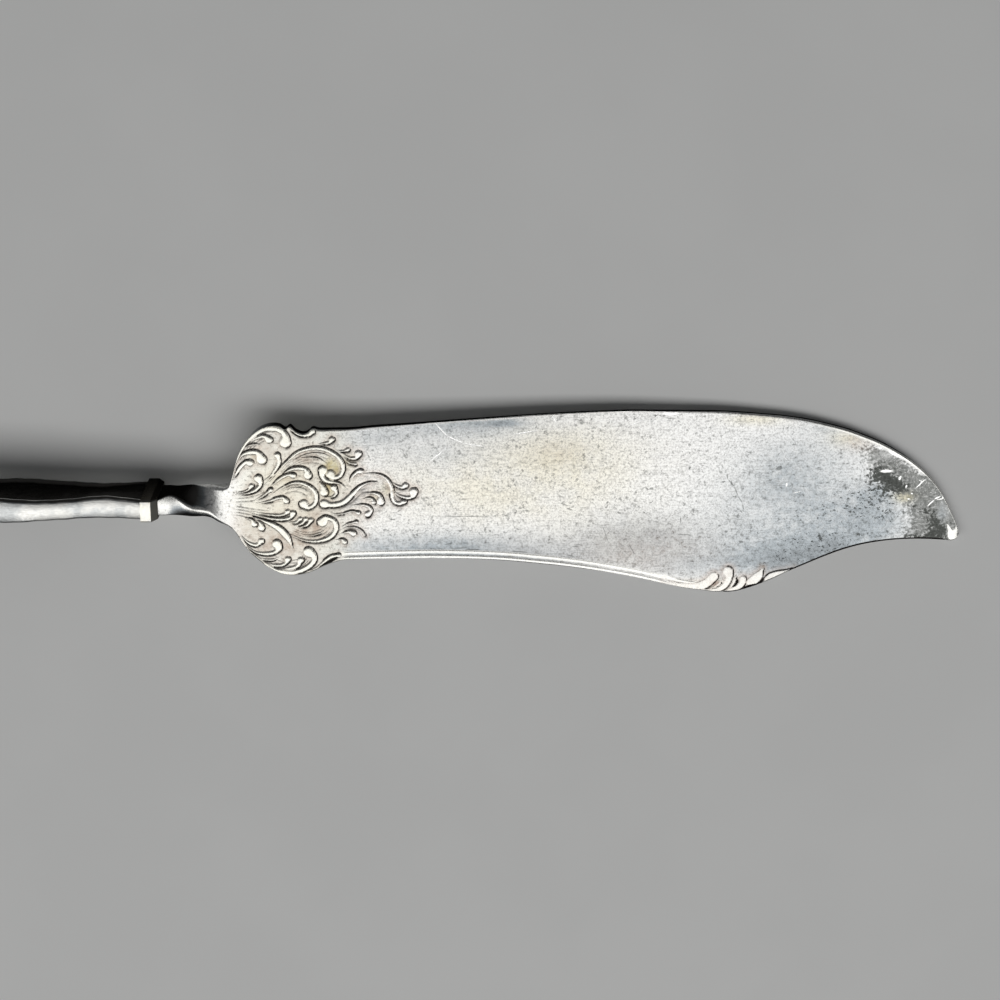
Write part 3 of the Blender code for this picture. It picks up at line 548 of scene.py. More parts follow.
DARK_MARKS = (
    (38.0, -1.85, 3.6, 0.06, 0.5), (41.2, -1.65, 0.5, 0.06, 30.0), (49.2, -0.45, 0.45, 0.1, -25.0),
    (49.8, -1.0, 0.45, 0.1, -20.0), (62.9, -2.4, 0.06, 0.6, 0.0), (63.3, -4.2, 0.9, 0.05, -2.0),
    (38.4, -5.9, 0.9, 0.1, -3.0), (43.9, -6.2, 0.9, 0.09, -4.0), (49.9, -6.7, 0.5, 0.08, -10.0),
    (54.0, -4.0, 1.2, 0.05, -72.0), (68.25, 2.97, 0.35, 0.07, -80.0), (68.7, 2.17, 0.62, 0.07, -50.0),
    (69.35, 1.1, 0.66, 0.07, -67.0), (69.85, 0.1, 0.5, 0.07, -60.0), (70.2, -0.75, 0.45, 0.06, -77.0),
    (70.1, -5.1, 0.28, 0.17, 0.0), (67.5, -3.1, 0.2, 0.15, 0.0), (68.3, -3.85, 0.2, 0.14, 0.0),
    (74.3, 3.95, 0.4, 0.26, 20.0), (50.5, -5.6, 0.4, 0.07, 0.0), (37.0, -5.7, 0.9, 0.09, 4.0),
    (35.5, -5.2, 0.5, 0.07, 10.0), (57.2, -6.0, 0.7, 0.06, -60.0), (61.4, 10.0, 0.7, 0.06, -2.0),
)

# The stage, in metres: the floor, the key lamp, the tone of the surround, the camera's film
FLOOR_SIZE = 6.0
LAMP_SIZE = (2.4, 0.43)
LAMP_PLACE = (0.04, -0.287, 0.747)
LAMP_TARGET = (0.04, 0.0, 0.0)
SURROUND_TONE = (0.9, 0.92, 0.95, 1.0)
FILM_WIDTH = 36.0


def smooth_curve(knots, x):
    """Height at x of a smooth curve through the knots, each (x, height), in order of x."""
    places, heights = np.array(knots, float).T
    slopes = np.gradient(heights, places)
    x = np.clip(x, places[0], places[-1])
    left = np.clip(np.searchsorted(places, x) - 1, 0, len(places) - 2)
    width = places[left + 1] - places[left]
    t = (x - places[left]) / width
    start = (1 + 2 * t) * (1 - t) ** 2 * heights[left] + t * (1 - t) ** 2 * width * slopes[left]
    end = t**2 * (3 - 2 * t) * heights[left + 1] + t**2 * (t - 1) * width * slopes[left + 1]
    return start + end


def ease(x, start, end):
    """0 before start, 1 after end, and a smooth step between them."""
    t = np.clip((x - start) / (end - start), 0.0, 1.0)
    return t * t * (3 - 2 * t)


def smooth_line(points, density):
    """Rows along a smooth line through the given points, density times as many as there are points."""
    rows = np.array(points, float)
    knots = np.arange(len(rows))
    steps = np.linspace(0, len(rows) - 1, density * len(rows))
    return np.column_stack([smooth_curve(list(zip(knots, column)), steps) for column in rows.T])


def spaced(start, end, step):
    """Places from start up to end, about one step apart, without the end itself."""
    return list(np.linspace(start, end, max(2, round((end - start) / step)), endpoint=False))


def knife_axes():
    """Matrices to the frame from the blade's and the handle's millimetres, by the face it rests on."""
    face = frame["record"]["mounts"][0]
    up = -Vector(face["axis"]).normalized()
    along = Vector((up.z, 0.0, -up.x)).normalized()
    turn = Matrix((along, up.cross(along), up)).transposed()
    origin = Vector(face["pos_m"]) - turn @ Vector((MOUNT_PLACE, 0.0, UNDERSIDE)) * MM
    square = Vector((0.0, 1.0, 0.0))
    upright = Matrix((along, square, along.cross(square))).transposed()
    place = Matrix.Translation(origin)
    size = Matrix.Scale(MM, 4)
    return place @ turn.to_4x4() @ size, place @ upright.to_4x4() @ size


BLADE_AXES, HANDLE_AXES = knife_axes()
LEAN = math.degrees(math.asin(-frame["record"]["mounts"][0]["axis"][1]))


class Relief:
    """Scrolls raised on a face, gathered one by one: their height, and the dark groove round each."""

    def __init__(self, x, y):
        self.x = x
        self.y = y
        self.height = np.zeros(x.shape)
        self.groove = np.zeros(x.shape)
        self.dirt = np.zeros(x.shape)

    def near(self, line, reach):
        """Which points of the face are within reach of the box round a line."""
        low, high = line.min(axis=0) - reach, line.max(axis=0) + reach
        return (self.x > low[0]) & (self.x < high[0]) & (self.y > low[1]) & (self.y < high[1])

    def add(self, half_width, head, points, widen=STEM_WIDEN, line_width=1.0, inner_line=INNER_LINE):
        """Raise one scroll over what is there, and cut its outline, deepest on its outer side."""
        line = smooth_line(points, LINE_DENSITY)
        run = np.concatenate([[0.0], np.cumsum(np.hypot(*np.diff(line, axis=0).T))])
        swell = ease(run / run[-1], *STEM_SWELL)
        radius = widen * half_width * (STEM_SHARE + (1 - STEM_SHARE) * swell)
        if head:
            radius = np.maximum(radius, HEAD_WIDEN * head - HEAD_TAPER * (run[-1] - run))
        else:
            radius = radius * (1 - END_TAPER * ease(run / run[-1], *END_START))
        tangent = np.gradient(line, axis=0)
        tangent /= np.linalg.norm(tangent, axis=1, keepdims=True)
        bend = np.cross(tangent, np.gradient(tangent, axis=0))
        bend = np.convolve(bend, np.ones(BEND_WINDOW) / BEND_WINDOW, mode="same")
        outward = np.column_stack([tangent[:, 1], -tangent[:, 0]]) * np.sign(bend)[:, None]
        near = self.near(line, radius.max() + 2 * DIRT_SPREAD)
        if not near.any():
            return
        gap_x = self.x[near][:, None] - line[:, 0]
        gap_y = self.y[near][:, None] - line[:, 1]
        away = np.hypot(gap_x, gap_y)
        closest = np.argmin(away - radius, axis=1)
        row = np.arange(len(closest))
        away, gap_x, gap_y = away[row, closest], gap_x[row, closest], gap_y[row, closest]
        size = radius[closest]
        outside = away - size
        side = (gap_x * outward[closest, 0] + gap_y * outward[closest, 1]) / np.maximum(away, 1e-6)
        weight = inner_line + (1 - inner_line) * ease(side, -inner_line, OUTER_SIDE)
        weight = weight * ease(size, *THIN_STEM)
        spread = line_width * GROOVE_SPREAD * (GROOVE_LEAST + GROOVE_GAIN * weight)
        cut = weight * np.exp(-((np.maximum(outside, 0.0) / spread) ** 2))
        ridge = np.sqrt(np.clip(1 - (away / size) ** 4, 0, 1))
        ridge *= np.minimum(1.0, LEAST_RIDGE + (1 - LEAST_RIDGE) * size / FULL_RIDGE)
        inside = ease(-outside, 0.0, CRISP)
        soil = ease(size, *THIN_STEM) * np.exp(-((np.maximum(outside, 0.0) / DIRT_SPREAD) ** 2))
        self.dirt[near] = np.maximum(self.dirt[near], soil)
        height, groove = self.height[near], self.groove[near]
        raised = np.maximum(ridge, COVERED_SHARE * height)
        self.height[near] = np.where(outside < 0, raised, height * (1 - GROOVE_BITE * cut))
        filled = np.minimum(groove, 1.0) * (1 - inside)
        self.groove[near] = np.where(outside < 0, filled, np.maximum(groove, cut))

    def engrave(self, points):
        """Cut one fine line into the ground, fading in from its start."""
        line = smooth_line(points, LINE_DENSITY)
        near = self.near(line, 3 * FLUTE_SPREAD)
        away = np.hypot(self.x[near][:, None] - line[:, 0], self.y[near][:, None] - line[:, 1])
        place = np.argmin(away, axis=1) / len(line)
        depth = FLUTE_WEIGHT * ease(place, *FLUTE_START) * (1 - ease(place, *FLUTE_END))
        cut = depth * np.exp(-((away.min(axis=1) / FLUTE_SPREAD) ** 2))
        self.groove[near] = np.maximum(self.groove[near], cut)


def zone(x, y, zones, most=1.0):
    """Sum of soft round zones at each point, clipped to the most that it may be."""
    total = np.zeros(x.shape)
    for middle_x, middle_y, reach_x, reach_y, strength in zones:
        total += strength * np.exp(-(((x - middle_x) / reach_x) ** 2 + ((y - middle_y) / reach_y) ** 2))
    return np.clip(total, 0.0, most)


def worn_strokes(x, y, strokes):
    """1 inside any of the tapered strokes, each a row of (x, y, radius), and 0 outside."""
    inside = np.zeros(x.shape)
    for stroke in strokes:
        for middle_x, middle_y, radius in smooth_line(stroke, STROKE_DENSITY):
            away = np.hypot(x - middle_x, y - middle_y) - radius
            inside = np.maximum(inside, 1 - ease(away, *STROKE_RIM))
    return inside


def wrapped_grid(name, points, axes, attributes):
    """A grid primitive wrapped into a closed tube: points[i, j] is corner j of ring i, in millimetres."""
    rings, corners = points.shape[:2]
    bpy.ops.object.select_all(action="DESELECT")
    bpy.ops.mesh.primitive_grid_add(x_subdivisions=corners, y_subdivisions=rings - 1, size=1.0)
    piece = bpy.context.object
    piece.name = name
    piece.data.name = name
    closed = np.concatenate([points, points[:, :1]], axis=1)
    matrix = np.array(axes)
    placed = closed @ matrix[:3, :3].T + matrix[:3, 3]
    piece.data.vertices.foreach_set("co", placed.astype(np.float32).reshape(-1))
    for label, values in attributes.items():
        layer = piece.data.attributes.new(label, "FLOAT", "POINT")
        values = np.concatenate([values, values[:, :1]], axis=1)
        layer.data.foreach_set("value", values.astype(np.float32).reshape(-1))
    bpy.ops.object.mode_set(mode="EDIT")
    bpy.ops.mesh.select_all(action="SELECT")
    bpy.ops.mesh.remove_doubles(threshold=SAME_POINT)
    bpy.ops.mesh.fill_holes(sides=0)
    bpy.ops.mesh.normals_make_consistent(inside=False)
    bpy.ops.object.mode_set(mode="OBJECT")
    bpy.ops.object.shade_smooth_by_angle(angle=SHARP_TURN)
    return piece


def dress(piece, material, slot, *nodes):
    """Give a finished piece its material and its body, and hide the solids that it stands for; the slot
    is not used.
    """
    piece.data.materials.clear()
    piece.data.materials.append(material)
    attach(piece, "root")
    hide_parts(*nodes)


def corner_round(size, angles):
    """Offsets across and up of points on a rounded corner, as columns for one ring's row."""
    turn = np.radians(angles)
    return size[:, None] * np.cos(turn), size[:, None] * np.sin(turn)


def blade_stations(fine):
    """Places of the forging's rings along X, closest over the scrolls, the leaves and the tip."""
    places = list(TANG_RINGS)
    for start, end, step in (
        (SHANK_START, NECK_END, 2 * fine),
        (NECK_END, SCROLLS_END, fine),
        (SCROLLS_END, LEAVES_START, 8 * fine),
        (LEAVES_START, LEAVES_END, 1.15 * fine),
        (LEAVES_END, TIP_ROUND, 3.5 * fine),
        (TIP_ROUND, TIP, 1.2 * fine),
    ):
        places += spaced(start, end, step)
    return np.array(places + [TIP])


class Forging:
    """Blade, shoulders, neck and tang in one, as rings along X: their face, their corners, their wear."""

    def __init__(self, settings):
        self.settings = settings
        self.x = blade_stations(settings.scroll_step)
        self.lay_out()
        self.carve()
        turn = np.where(self.x < NECK_END, smooth_curve(SHANK_TURN, self.x), 0.0)
        self.turn = np.radians(turn + LEAN * np.clip(-turn / 90.0, 0.0, 1.0))[:, None]

    def lay_out(self):
        """Set the outline, the thickness and the points across each ring's face."""
        x = self.x
        tang = np.arange(len(x)) < len(TANG_RINGS)
        blade = x > NECK_END
        self.low = -smooth_curve(SPINE_LINE, x)
        self.high = smooth_curve(EDGE_LINE, x)
        self.room = smooth_curve(CORNER_RADIUS, x)
        half = smooth_curve(SHANK_HALF, x)
        self.high[tang] = TANG_HALF_WIDTH
        self.low[tang] = -self.high[tang]
        self.room[tang] = TANG_CORNER
        half[tang] = TANG_HALF
        self.back = np.where(blade, UNDERSIDE + CLEARANCE, -half)
        spine = np.where(blade, smooth_curve(SPINE_THICKNESS, x), 2 * half)
        edge = np.where(blade, smooth_curve(EDGE_THICKNESS, x), 2 * half)
        crowd = 1 + BELLY_CROWD * (ease(x, *CROWD_START) - ease(x, *CROWD_END))
        share = np.linspace(0.0, 1.0, self.settings.face_points) ** crowd[:, None]
        inner = (self.high - self.low - 2 * self.room)[:, None]
        self.across = self.low[:, None] + self.room[:, None] + inner * share
        self.along = np.repeat(x[:, None], self.settings.face_points, axis=1)
        self.face = self.back[:, None] + spine[:, None] * (1 - share) + edge[:, None] * share

    def carve(self):
        """Raise the scrolls, leaves and threads of the face, and cut its grooves."""
        relief = Relief(self.along, self.across)
        for count, outer, inner in FLUTES:
            for share in np.linspace(0.0, 1.0, count):
                relief.engrave((1 - share) * np.array(outer) + share * np.array(inner))
        for scroll in SHOULDER_SCROLLS:
            relief.add(*scroll)
        for leaf in BELLY_LEAVES:
            relief.add(*leaf, LEAF_WIDEN, BELLY_LINE, BELLY_INNER_LINE)
        blade = self.along > NECK_END
        bare = 1 - ease(relief.height, 0.0, THREAD_STOP)
        self.rise = self.across - self.low[:, None]
        threads = ease(self.along, *THREADS_START) * (1 - ease(self.along, *THREADS_END))
        upper = np.sqrt(np.clip(1 - ((self.rise - UPPER_THREAD) / THREAD_HALF) ** 2, 0, 1))
        lower = np.sqrt(np.clip(1 - ((self.rise - LOWER_THREAD) / THREAD_HALF) ** 2, 0, 1))
        self.thread = threads * bare * np.maximum(upper, lower)
        between = np.exp(-(((self.rise - THREAD_GAP) / GAP_SPREAD) ** 2))
        thread_cut = threads * GAP_CUT * between * bare
        self.hollows = worn_strokes(self.along, self.across, BLACK_HOLLOWS)
        self.groove = np.maximum(np.maximum(relief.groove, self.hollows) * blade, thread_cut)
        self.height = relief.height * blade
        self.dirt = relief.dirt * blade
        self.belly = ease(self.along, *BELLY_START)
        lift = 1 - (1 - BELLY_LIFT) * self.belly
        self.face = self.face + self.settings.scroll_height / MM * self.height * lift
        self.face = self.face + self.settings.thread_height / MM * self.thread**4
        self.face = self.face - self.settings.groove_depth / MM * self.groove

    def corners(self):
        """Points of each ring in order: face, edge wall, underside, spine wall, turned round the neck."""
        top_out, top_up = corner_round(self.room, CORNER_TOP)
        under_out, under_up = corner_round(self.room, CORNER_UNDER)
        right = (self.high - self.room)[:, None]
        left = (self.low + self.room)[:, None]
        flat = np.linspace(0.0, 1.0, UNDER_POINTS)
        sides = (
            self.across,
            right + top_out,
            right + under_out,
            right * (1 - flat) + left * flat,
            left - under_out[:, ::-1],
            left - top_out[:, ::-1],
        )
        floor = (self.back + self.room)[:, None]
        heights = (
            self.face,
            (self.face[:, -1] - self.room)[:, None] + top_up,
            floor + under_up,
            np.repeat(self.back[:, None], UNDER_POINTS, axis=1),
            floor + under_up[:, ::-1],
            (self.face[:, 0] - self.room)[:, None] + top_up[:, ::-1],
        )
        u = np.concatenate(sides, axis=1)
        v = np.concatenate(heights, axis=1)
        y = u * np.cos(self.turn) - v * np.sin(self.turn)
        z = u * np.sin(self.turn) + v * np.cos(self.turn)
        return np.stack([np.repeat(self.x[:, None], u.shape[1], axis=1), y, z], axis=2)

    def face_wear(self):
        """How bright, dark, warm or soiled each point of the face is, painted shade, highlights and
        reflection included.
        """
        along, across = self.along, self.across
        from_edge = self.high[:, None] - across
        thin = ease(along, *THIN_RIM_START)
        rim_start, rim_end = (reach - less * thin for reach, less in zip(RIM_REACH, THIN_RIM_LESS))
        rim = ease(along, *RIM_START) * (1 - ease(from_edge, rim_start, rim_end))
        # A painted highlight: a thin bright line along the face's cutting edge.
        painted_edge_highlight = EDGE_HIGHLIGHT * ease(along, *EDGE_HIGHLIGHT_START)
        painted_edge_highlight = painted_edge_highlight * (1 - ease(from_edge, *EDGE_HIGHLIGHT_REACH))
        worn_end = worn_strokes(along, across, WORN_TIP)
        crest = ease(self.height, *CREST) * (1 - (1 - BELLY_POLISH) * self.belly)
        crest = np.maximum(crest, self.thread) * (1 - self.hollows)
        clear = (1 - worn_end) * (1 - RIM_COVER * rim)
        veil = ease(along - smooth_curve(VEIL_LINE, across), *VEIL_REACH) * clear
        veil = veil * ease(from_edge, VEIL_EDGE[0], VEIL_EDGE[1] - VEIL_EDGE_LESS * thin)
        # A painted dark reflection: a dark line along the rounded lower edge towards the tip.
        painted_edge_reflection = ease(along, *EDGE_REFLECTION_START) * (1 - ease(along, *EDGE_REFLECTION_END))
        painted_edge_reflection = painted_edge_reflection * (1 - ease(self.rise, *EDGE_REFLECTION_REACH))
        painted_edge_reflection = painted_edge_reflection * (1 - EDGE_REFLECTION_LOSS * ease(along, *EDGE_REFLECTION_FADE))
        # Painted shade: the neck's face darkens where it is turned away from the lamp.
        painted_shade = ease(-self.turn, SHADE_LEAST_TURN, SHADE_MOST_TURN)
        # recess holds the grooves and the painted dark reflection; polish holds rubbed wear and the
        # painted edge highlight
        return {
            "recess": np.clip(np.maximum(self.groove, painted_edge_reflection), 0, 1),
            "dirt": np.maximum(self.dirt, zone(along, across, SOIL_ZONES, SOIL_MOST)),
            "painted_shade": np.repeat(painted_shade, self.settings.face_points, axis=1),
            "polish": np.clip(np.maximum.reduce([crest, rim, painted_edge_highlight, worn_end]), 0, 1),
            "tarnish": zone(along, across, TARNISH_ZONES) * clear,
            "veil": veil,
            "gloss": zone(along, across, GLOSS_ZONES),
            "warm": zone(along, across, WARM_ZONES),
            "cool_and_shade": zone(along, across, COOL_AND_SHADE_ZONES, COOL_AND_SHADE_MOST),
            "yellow": zone(along, across, YELLOW_ZONES),
            "pits": zone(along, across, PIT_ZONES, PIT_MOST),
        }

    def wear(self):
        """Wear, painted shade and painted highlights of every corner of every ring, in the order of
        corners().
        """
        x = self.x
        edge_top = self.settings.face_points
        edge_side = edge_top + len(CORNER_TOP) // 2
        under = edge_top + len(CORNER_TOP) + len(CORNER_UNDER)
        spine_side = under + UNDER_POINTS
        spine_top = spine_side + len(CORNER_UNDER)
        rest = ((0, 0), (0, spine_top + len(CORNER_TOP) - edge_top))
        wear = {}
        for label, values in self.face_wear().items():
            wear[label] = np.pad(values, rest, constant_values=WALL_TONE.get(label, 0.0))
        neck = 1 - ease(x, *NECK_FADE)
        shank = ((x > SHANK_START) & (x < SHANK_END))[:, None]
        lean = np.array(CORNER_TOP[::-1]) - 90.0 - np.degrees(self.turn)
        # Painted shade: the neck's walls darken where their turn and lean face them away from the lamp.
        front = ease(-self.turn, SHADE_LEAST_TURN, SHADE_MOST_TURN) * ease(lean, *FRONT_LEAN)
        shaded_flank = (FLANK_PAINTED_SHADE * ease(x, *FLANK_START) * neck)[:, None] * ease(-lean, *FLANK_LEAN)
        # Painted shadow: the cutting edge's wall is darkened as if by the shadow beside it.
        painted_edge_shadow = WALL_PAINTED_SHADE * ease(x, *EDGE_SHADOW_START) * (1 - ease(x, *EDGE_SHADOW_END))
        # Painted shade on the spine's wall along the neck.
        painted_spine_shade = WALL_PAINTED_SHADE * ease(x, *SPINE_SHADE_START) * neck
        wear["painted_shade"][:, edge_side:under] = painted_edge_shadow[:, None]
        wear["painted_shade"][:, spine_side:spine_top] = painted_spine_shade[:, None]
        wear["painted_shade"][:, spine_top:] = shank * np.maximum(front, shaded_flank)
        wear["polish"][:, edge_top:edge_side] = ease(x, *EDGE_POLISH_START)[:, None]
        # A painted highlight: the neck's corner turns bright where it faces up.
        wear["polish"][:, spine_top:] = shank * (1 - ease(np.abs(lean), *RIDGE_HIGHLIGHT_LEAN))
        # A painted dark reflection: stretches of the spine's wall are painted black.
        for start, end in PAINTED_BLACK_SPINE:
            wear["recess"][(x > start) & (x < end), spine_top:] = 1.0
        return wear


def shell_rings(settings, side):
    """Points of one struck half of the handle, on the side of +Y (1) or -Y (-1), with its relief."""
    count = round(-HANDLE_END * MM / settings.handle_step)
    body = np.linspace(COLLAR_BACK - COLLAR_GAP, HANDLE_END, count)
    x = np.concatenate([[SPIGOT_END, COLLAR_BACK], body])
    spigot = x >= COLLAR_BACK
    behind = HANDLE_START - x
    width = smooth_curve(HANDLE_WIDTH, behind) - CLEARANCE
    dents = DENT_DEPTH * np.sin(DENT_WAVES[0] * x) * np.sin(DENT_WAVES[1] * x + 1.0)
    edge = smooth_curve(HANDLE_THICKNESS, behind) + dents
    width[spigot] = SPIGOT_HALF_WIDTH
    edge[spigot] = SPIGOT_HALF
    bevel = SHELL_BEVEL
    border = np.minimum(BORDER_WIDTH, BORDER_SHARE * width)
    step = np.minimum(STEP_WIDTH, STEP_SHARE * width)
    panel = width - border - step
    drop = np.where(spigot, 0.0, PANEL_DROP * ease(-x, *PANEL_DROP_START))
    crown = np.where(spigot, 0.0, PANEL_CROWN)
    rows_z = [width, width, width - 0.3 * bevel, width - bevel]
    rows_y = [np.full_like(x, SEAM_GAP), edge - bevel, edge - 0.3 * bevel, edge]
    for part in (0.25, 0.5, 0.75, 1.0):
        bead = np.where(spigot, 0.0, BEAD_HEIGHT * np.sin(math.pi * part))
        rows_z.append(width - bevel - part * (border - bevel))
        rows_y.append(edge + bead)
    for share in np.linspace(1.0, 0.0, settings.panel_points):
        rows_z.append(share * panel)
        rows_y.append(edge - drop + crown * (1 - share**2))
    half_z = np.stack(rows_z, axis=1)
    half_y = np.stack(rows_y, axis=1)
    outer_z = np.concatenate([half_z, -half_z[:, -2::-1]], axis=1)
    outer_y = np.concatenate([half_y, half_y[:, -2::-1]], axis=1)
    across = outer_z.shape[1]
    along = np.repeat(x[:, None], across, axis=1)
    relief = Relief(along, outer_z)
    for half_width, head, points in HANDLE_SCROLLS:
        relief.add(half_width, head, points, LEAF_WIDEN)
        relief.add(half_width, head, [(a, -b) for a, b in points], LEAF_WIDEN)
    side_wall = np.abs(outer_z) > (width - bevel)[:, None]
    free = np.where(side_wall | spigot[:, None], 0.0, 1.0) * ease(-along, *ORNAMENT_START)
    free = free * (1 - ease(-along, *ORNAMENT_END))
    height = relief.height * free
    groove = relief.groove * free
    outer_y = outer_y + settings.scroll_height / MM * height - settings.groove_depth / MM * groove

    solid = (x < HANDLE_END + SOLID_END)[:, None]
    inner_z = outer_z * (1 - SHELL_WALL / np.maximum(width, 3 * SHELL_WALL))[:, None]
    inner_y = np.where(solid, SEAM_GAP, np.repeat((edge - SHELL_WALL)[:, None], across, axis=1))
    inner_y[:, [0, -1]] = SEAM_GAP
    inner_y = np.maximum(inner_y, SEAM_GAP)
    kept = np.unique(np.append(np.arange(0, across, 4), across - 1))[::-1]
    ring_z = np.concatenate([outer_z, inner_z[:, kept]], axis=1)
    ring_y = np.concatenate([outer_y, inner_y[:, kept]], axis=1)
    points = np.stack([np.repeat(x[:, None], ring_z.shape[1], axis=1), side * ring_y, ring_z], axis=2)

    rest = np.zeros((len(x), len(kept)))
    face = 1 - ease(np.abs(outer_z), (width - 0.5 * bevel)[:, None], (width - 0.1 * bevel)[:, None])
    bead_line = (width - bevel - 0.5 * (border - bevel))[:, None]
    line = np.exp(-(((np.abs(outer_z) - bead_line) / BEAD_LINE) ** 2))
    line = line * np.where(spigot, 0.0, 1.0)[:, None]
    rubbed = np.clip(np.maximum(ease(height, *ORNAMENT_CREST), line), 0, 1)
    wear = {
        "panel": np.concatenate([face * (1 - 0.9 * rubbed), rest], axis=1),
        "recess": np.concatenate([groove, rest], axis=1),
        "polish": np.concatenate([np.maximum(rubbed, 1 - face), rest], axis=1),
    }
    return points, wear


def node(tree, kind, inputs, **settings):
    """Add a node. inputs maps a socket's name or number to a value or to another node's output."""
    item = tree.nodes.new(kind)
    for label, value in settings.items():
        setattr(item, label, value)
    for key, value in inputs.items():
        if isinstance(value, bpy.types.NodeSocket):
            tree.links.new(value, item.inputs[key])
        else:
            item.inputs[key].default_value = value
    return item


def knife_millimetres(tree, axes):
    """Object coordinates turned and centred into the knife's own millimetres."""
    here = node(tree, "ShaderNodeTexCoord", {})
    place = {"Vector": here.outputs["Object"], "Location": axes.translation}
    place["Rotation"] = axes.to_euler()
    place["Scale"] = (MM, MM, MM)
    return node(tree, "ShaderNodeMapping", place, vector_type="TEXTURE").outputs["Vector"]


def stretched(tree, vector, scale, turn=0.0):
    """Coordinates scaled for each axis, and turned in the blade's plane by degrees."""
    inputs = {"Vector": vector, "Scale": scale, "Rotation": (0.0, 0.0, math.radians(turn))}
    return node(tree, "ShaderNodeMapping", inputs).outputs["Vector"]


def noise(tree, vector, scale, detail=2.0, roughness=0.5):
    """Cloudy noise from 0 to 1."""
    inputs = {"Vector": vector, "Scale": scale, "Detail": detail, "Roughness": roughness}
    return node(tree, "ShaderNodeTexNoise", inputs).outputs["Fac"]


def remap(tree, value, low, high, to_low=0.0, to_high=1.0):
    """Values from low to high, eased into to_low to to_high."""
    inputs = {"Value": value, "From Min": low, "From Max": high, "To Min": to_low, "To Max": to_high}
    return node(tree, "ShaderNodeMapRange", inputs, interpolation_type="SMOOTHSTEP").outputs["Result"]


def maths(tree, operation, first, second):
    """One Math node on two values."""
    return node(tree, "ShaderNodeMath", {0: first, 1: second}, operation=operation).outputs[0]


def times(tree, first, second):
    """The product of two values."""
    return maths(tree, "MULTIPLY", first, second)


def plus(tree, first, second):
    """The sum of two values."""
    return maths(tree, "ADD", first, second)


def vector_maths(tree, operation, *vectors):
    """One Vector Math node on two or three vectors."""
    return node(tree, "ShaderNodeVectorMath", dict(enumerate(vectors)), operation=operation).outputs[0]


def blend(tree, factor, first, second, mode="MIX"):
    """One colour over another by a factor."""
    first = first if isinstance(first, bpy.types.NodeSocket) else (*first, 1.0)
    second = second if isinstance(second, bpy.types.NodeSocket) else (*second, 1.0)
    inputs = {0: factor, 6: first, 7: second}
    mix = node(tree, "ShaderNodeMix", inputs, data_type="RGBA", blend_type=mode, clamp_result=True)
    return mix.outputs[2]


def attribute(tree, label):
    """Values that the mesh carries under a name."""
    return node(tree, "ShaderNodeAttribute", {}, attribute_name=label).outputs["Fac"]


def new_material(name):
    """A new node material, with its tree and its shader."""
    material = bpy.data.materials.new(name)
    material.use_nodes = True
    return material, material.node_tree, material.node_tree.nodes["Principled BSDF"]


def finish_shader(tree, shader, colour, roughness, bump, distance, black=None):
    """Join colour, roughness and a bump of a given height to the shader; black parts lose their sheen."""
    tree.links.new(colour, shader.inputs["Base Color"])
    tree.links.new(roughness, shader.inputs["Roughness"])
    if black is not None:
        sheen = blend(tree, black, (1.0, 1.0, 1.0), (0.05, 0.05, 0.05))
        tree.links.new(sheen, shader.inputs["Specular Tint"])
    lift = node(tree, "ShaderNodeBump", {"Height": bump, "Distance": distance, "Strength": 1.0})
    tree.links.new(lift.outputs["Normal"], shader.inputs["Normal"])


def marks(tree, vector, table):
    """1 on each long mark of the table, 0 elsewhere, with soft ends."""
    total = 0.0
    for x, y, long, short, slope in table:
        place = {"Vector": vector, "Location": (x, y, 0.0), "Rotation": (0.0, 0.0, math.radians(slope))}
        place["Scale"] = (long, short, 1000.0)
        local = node(tree, "ShaderNodeMapping", place, vector_type="TEXTURE").outputs["Vector"]
        away = node(tree, "ShaderNodeVectorMath", {0: local}, operation="LENGTH").outputs["Value"]
        total = maths(tree, "MAXIMUM", total, remap(tree, away, 0.65, 1.15, 1.0, 0.0))
    return total


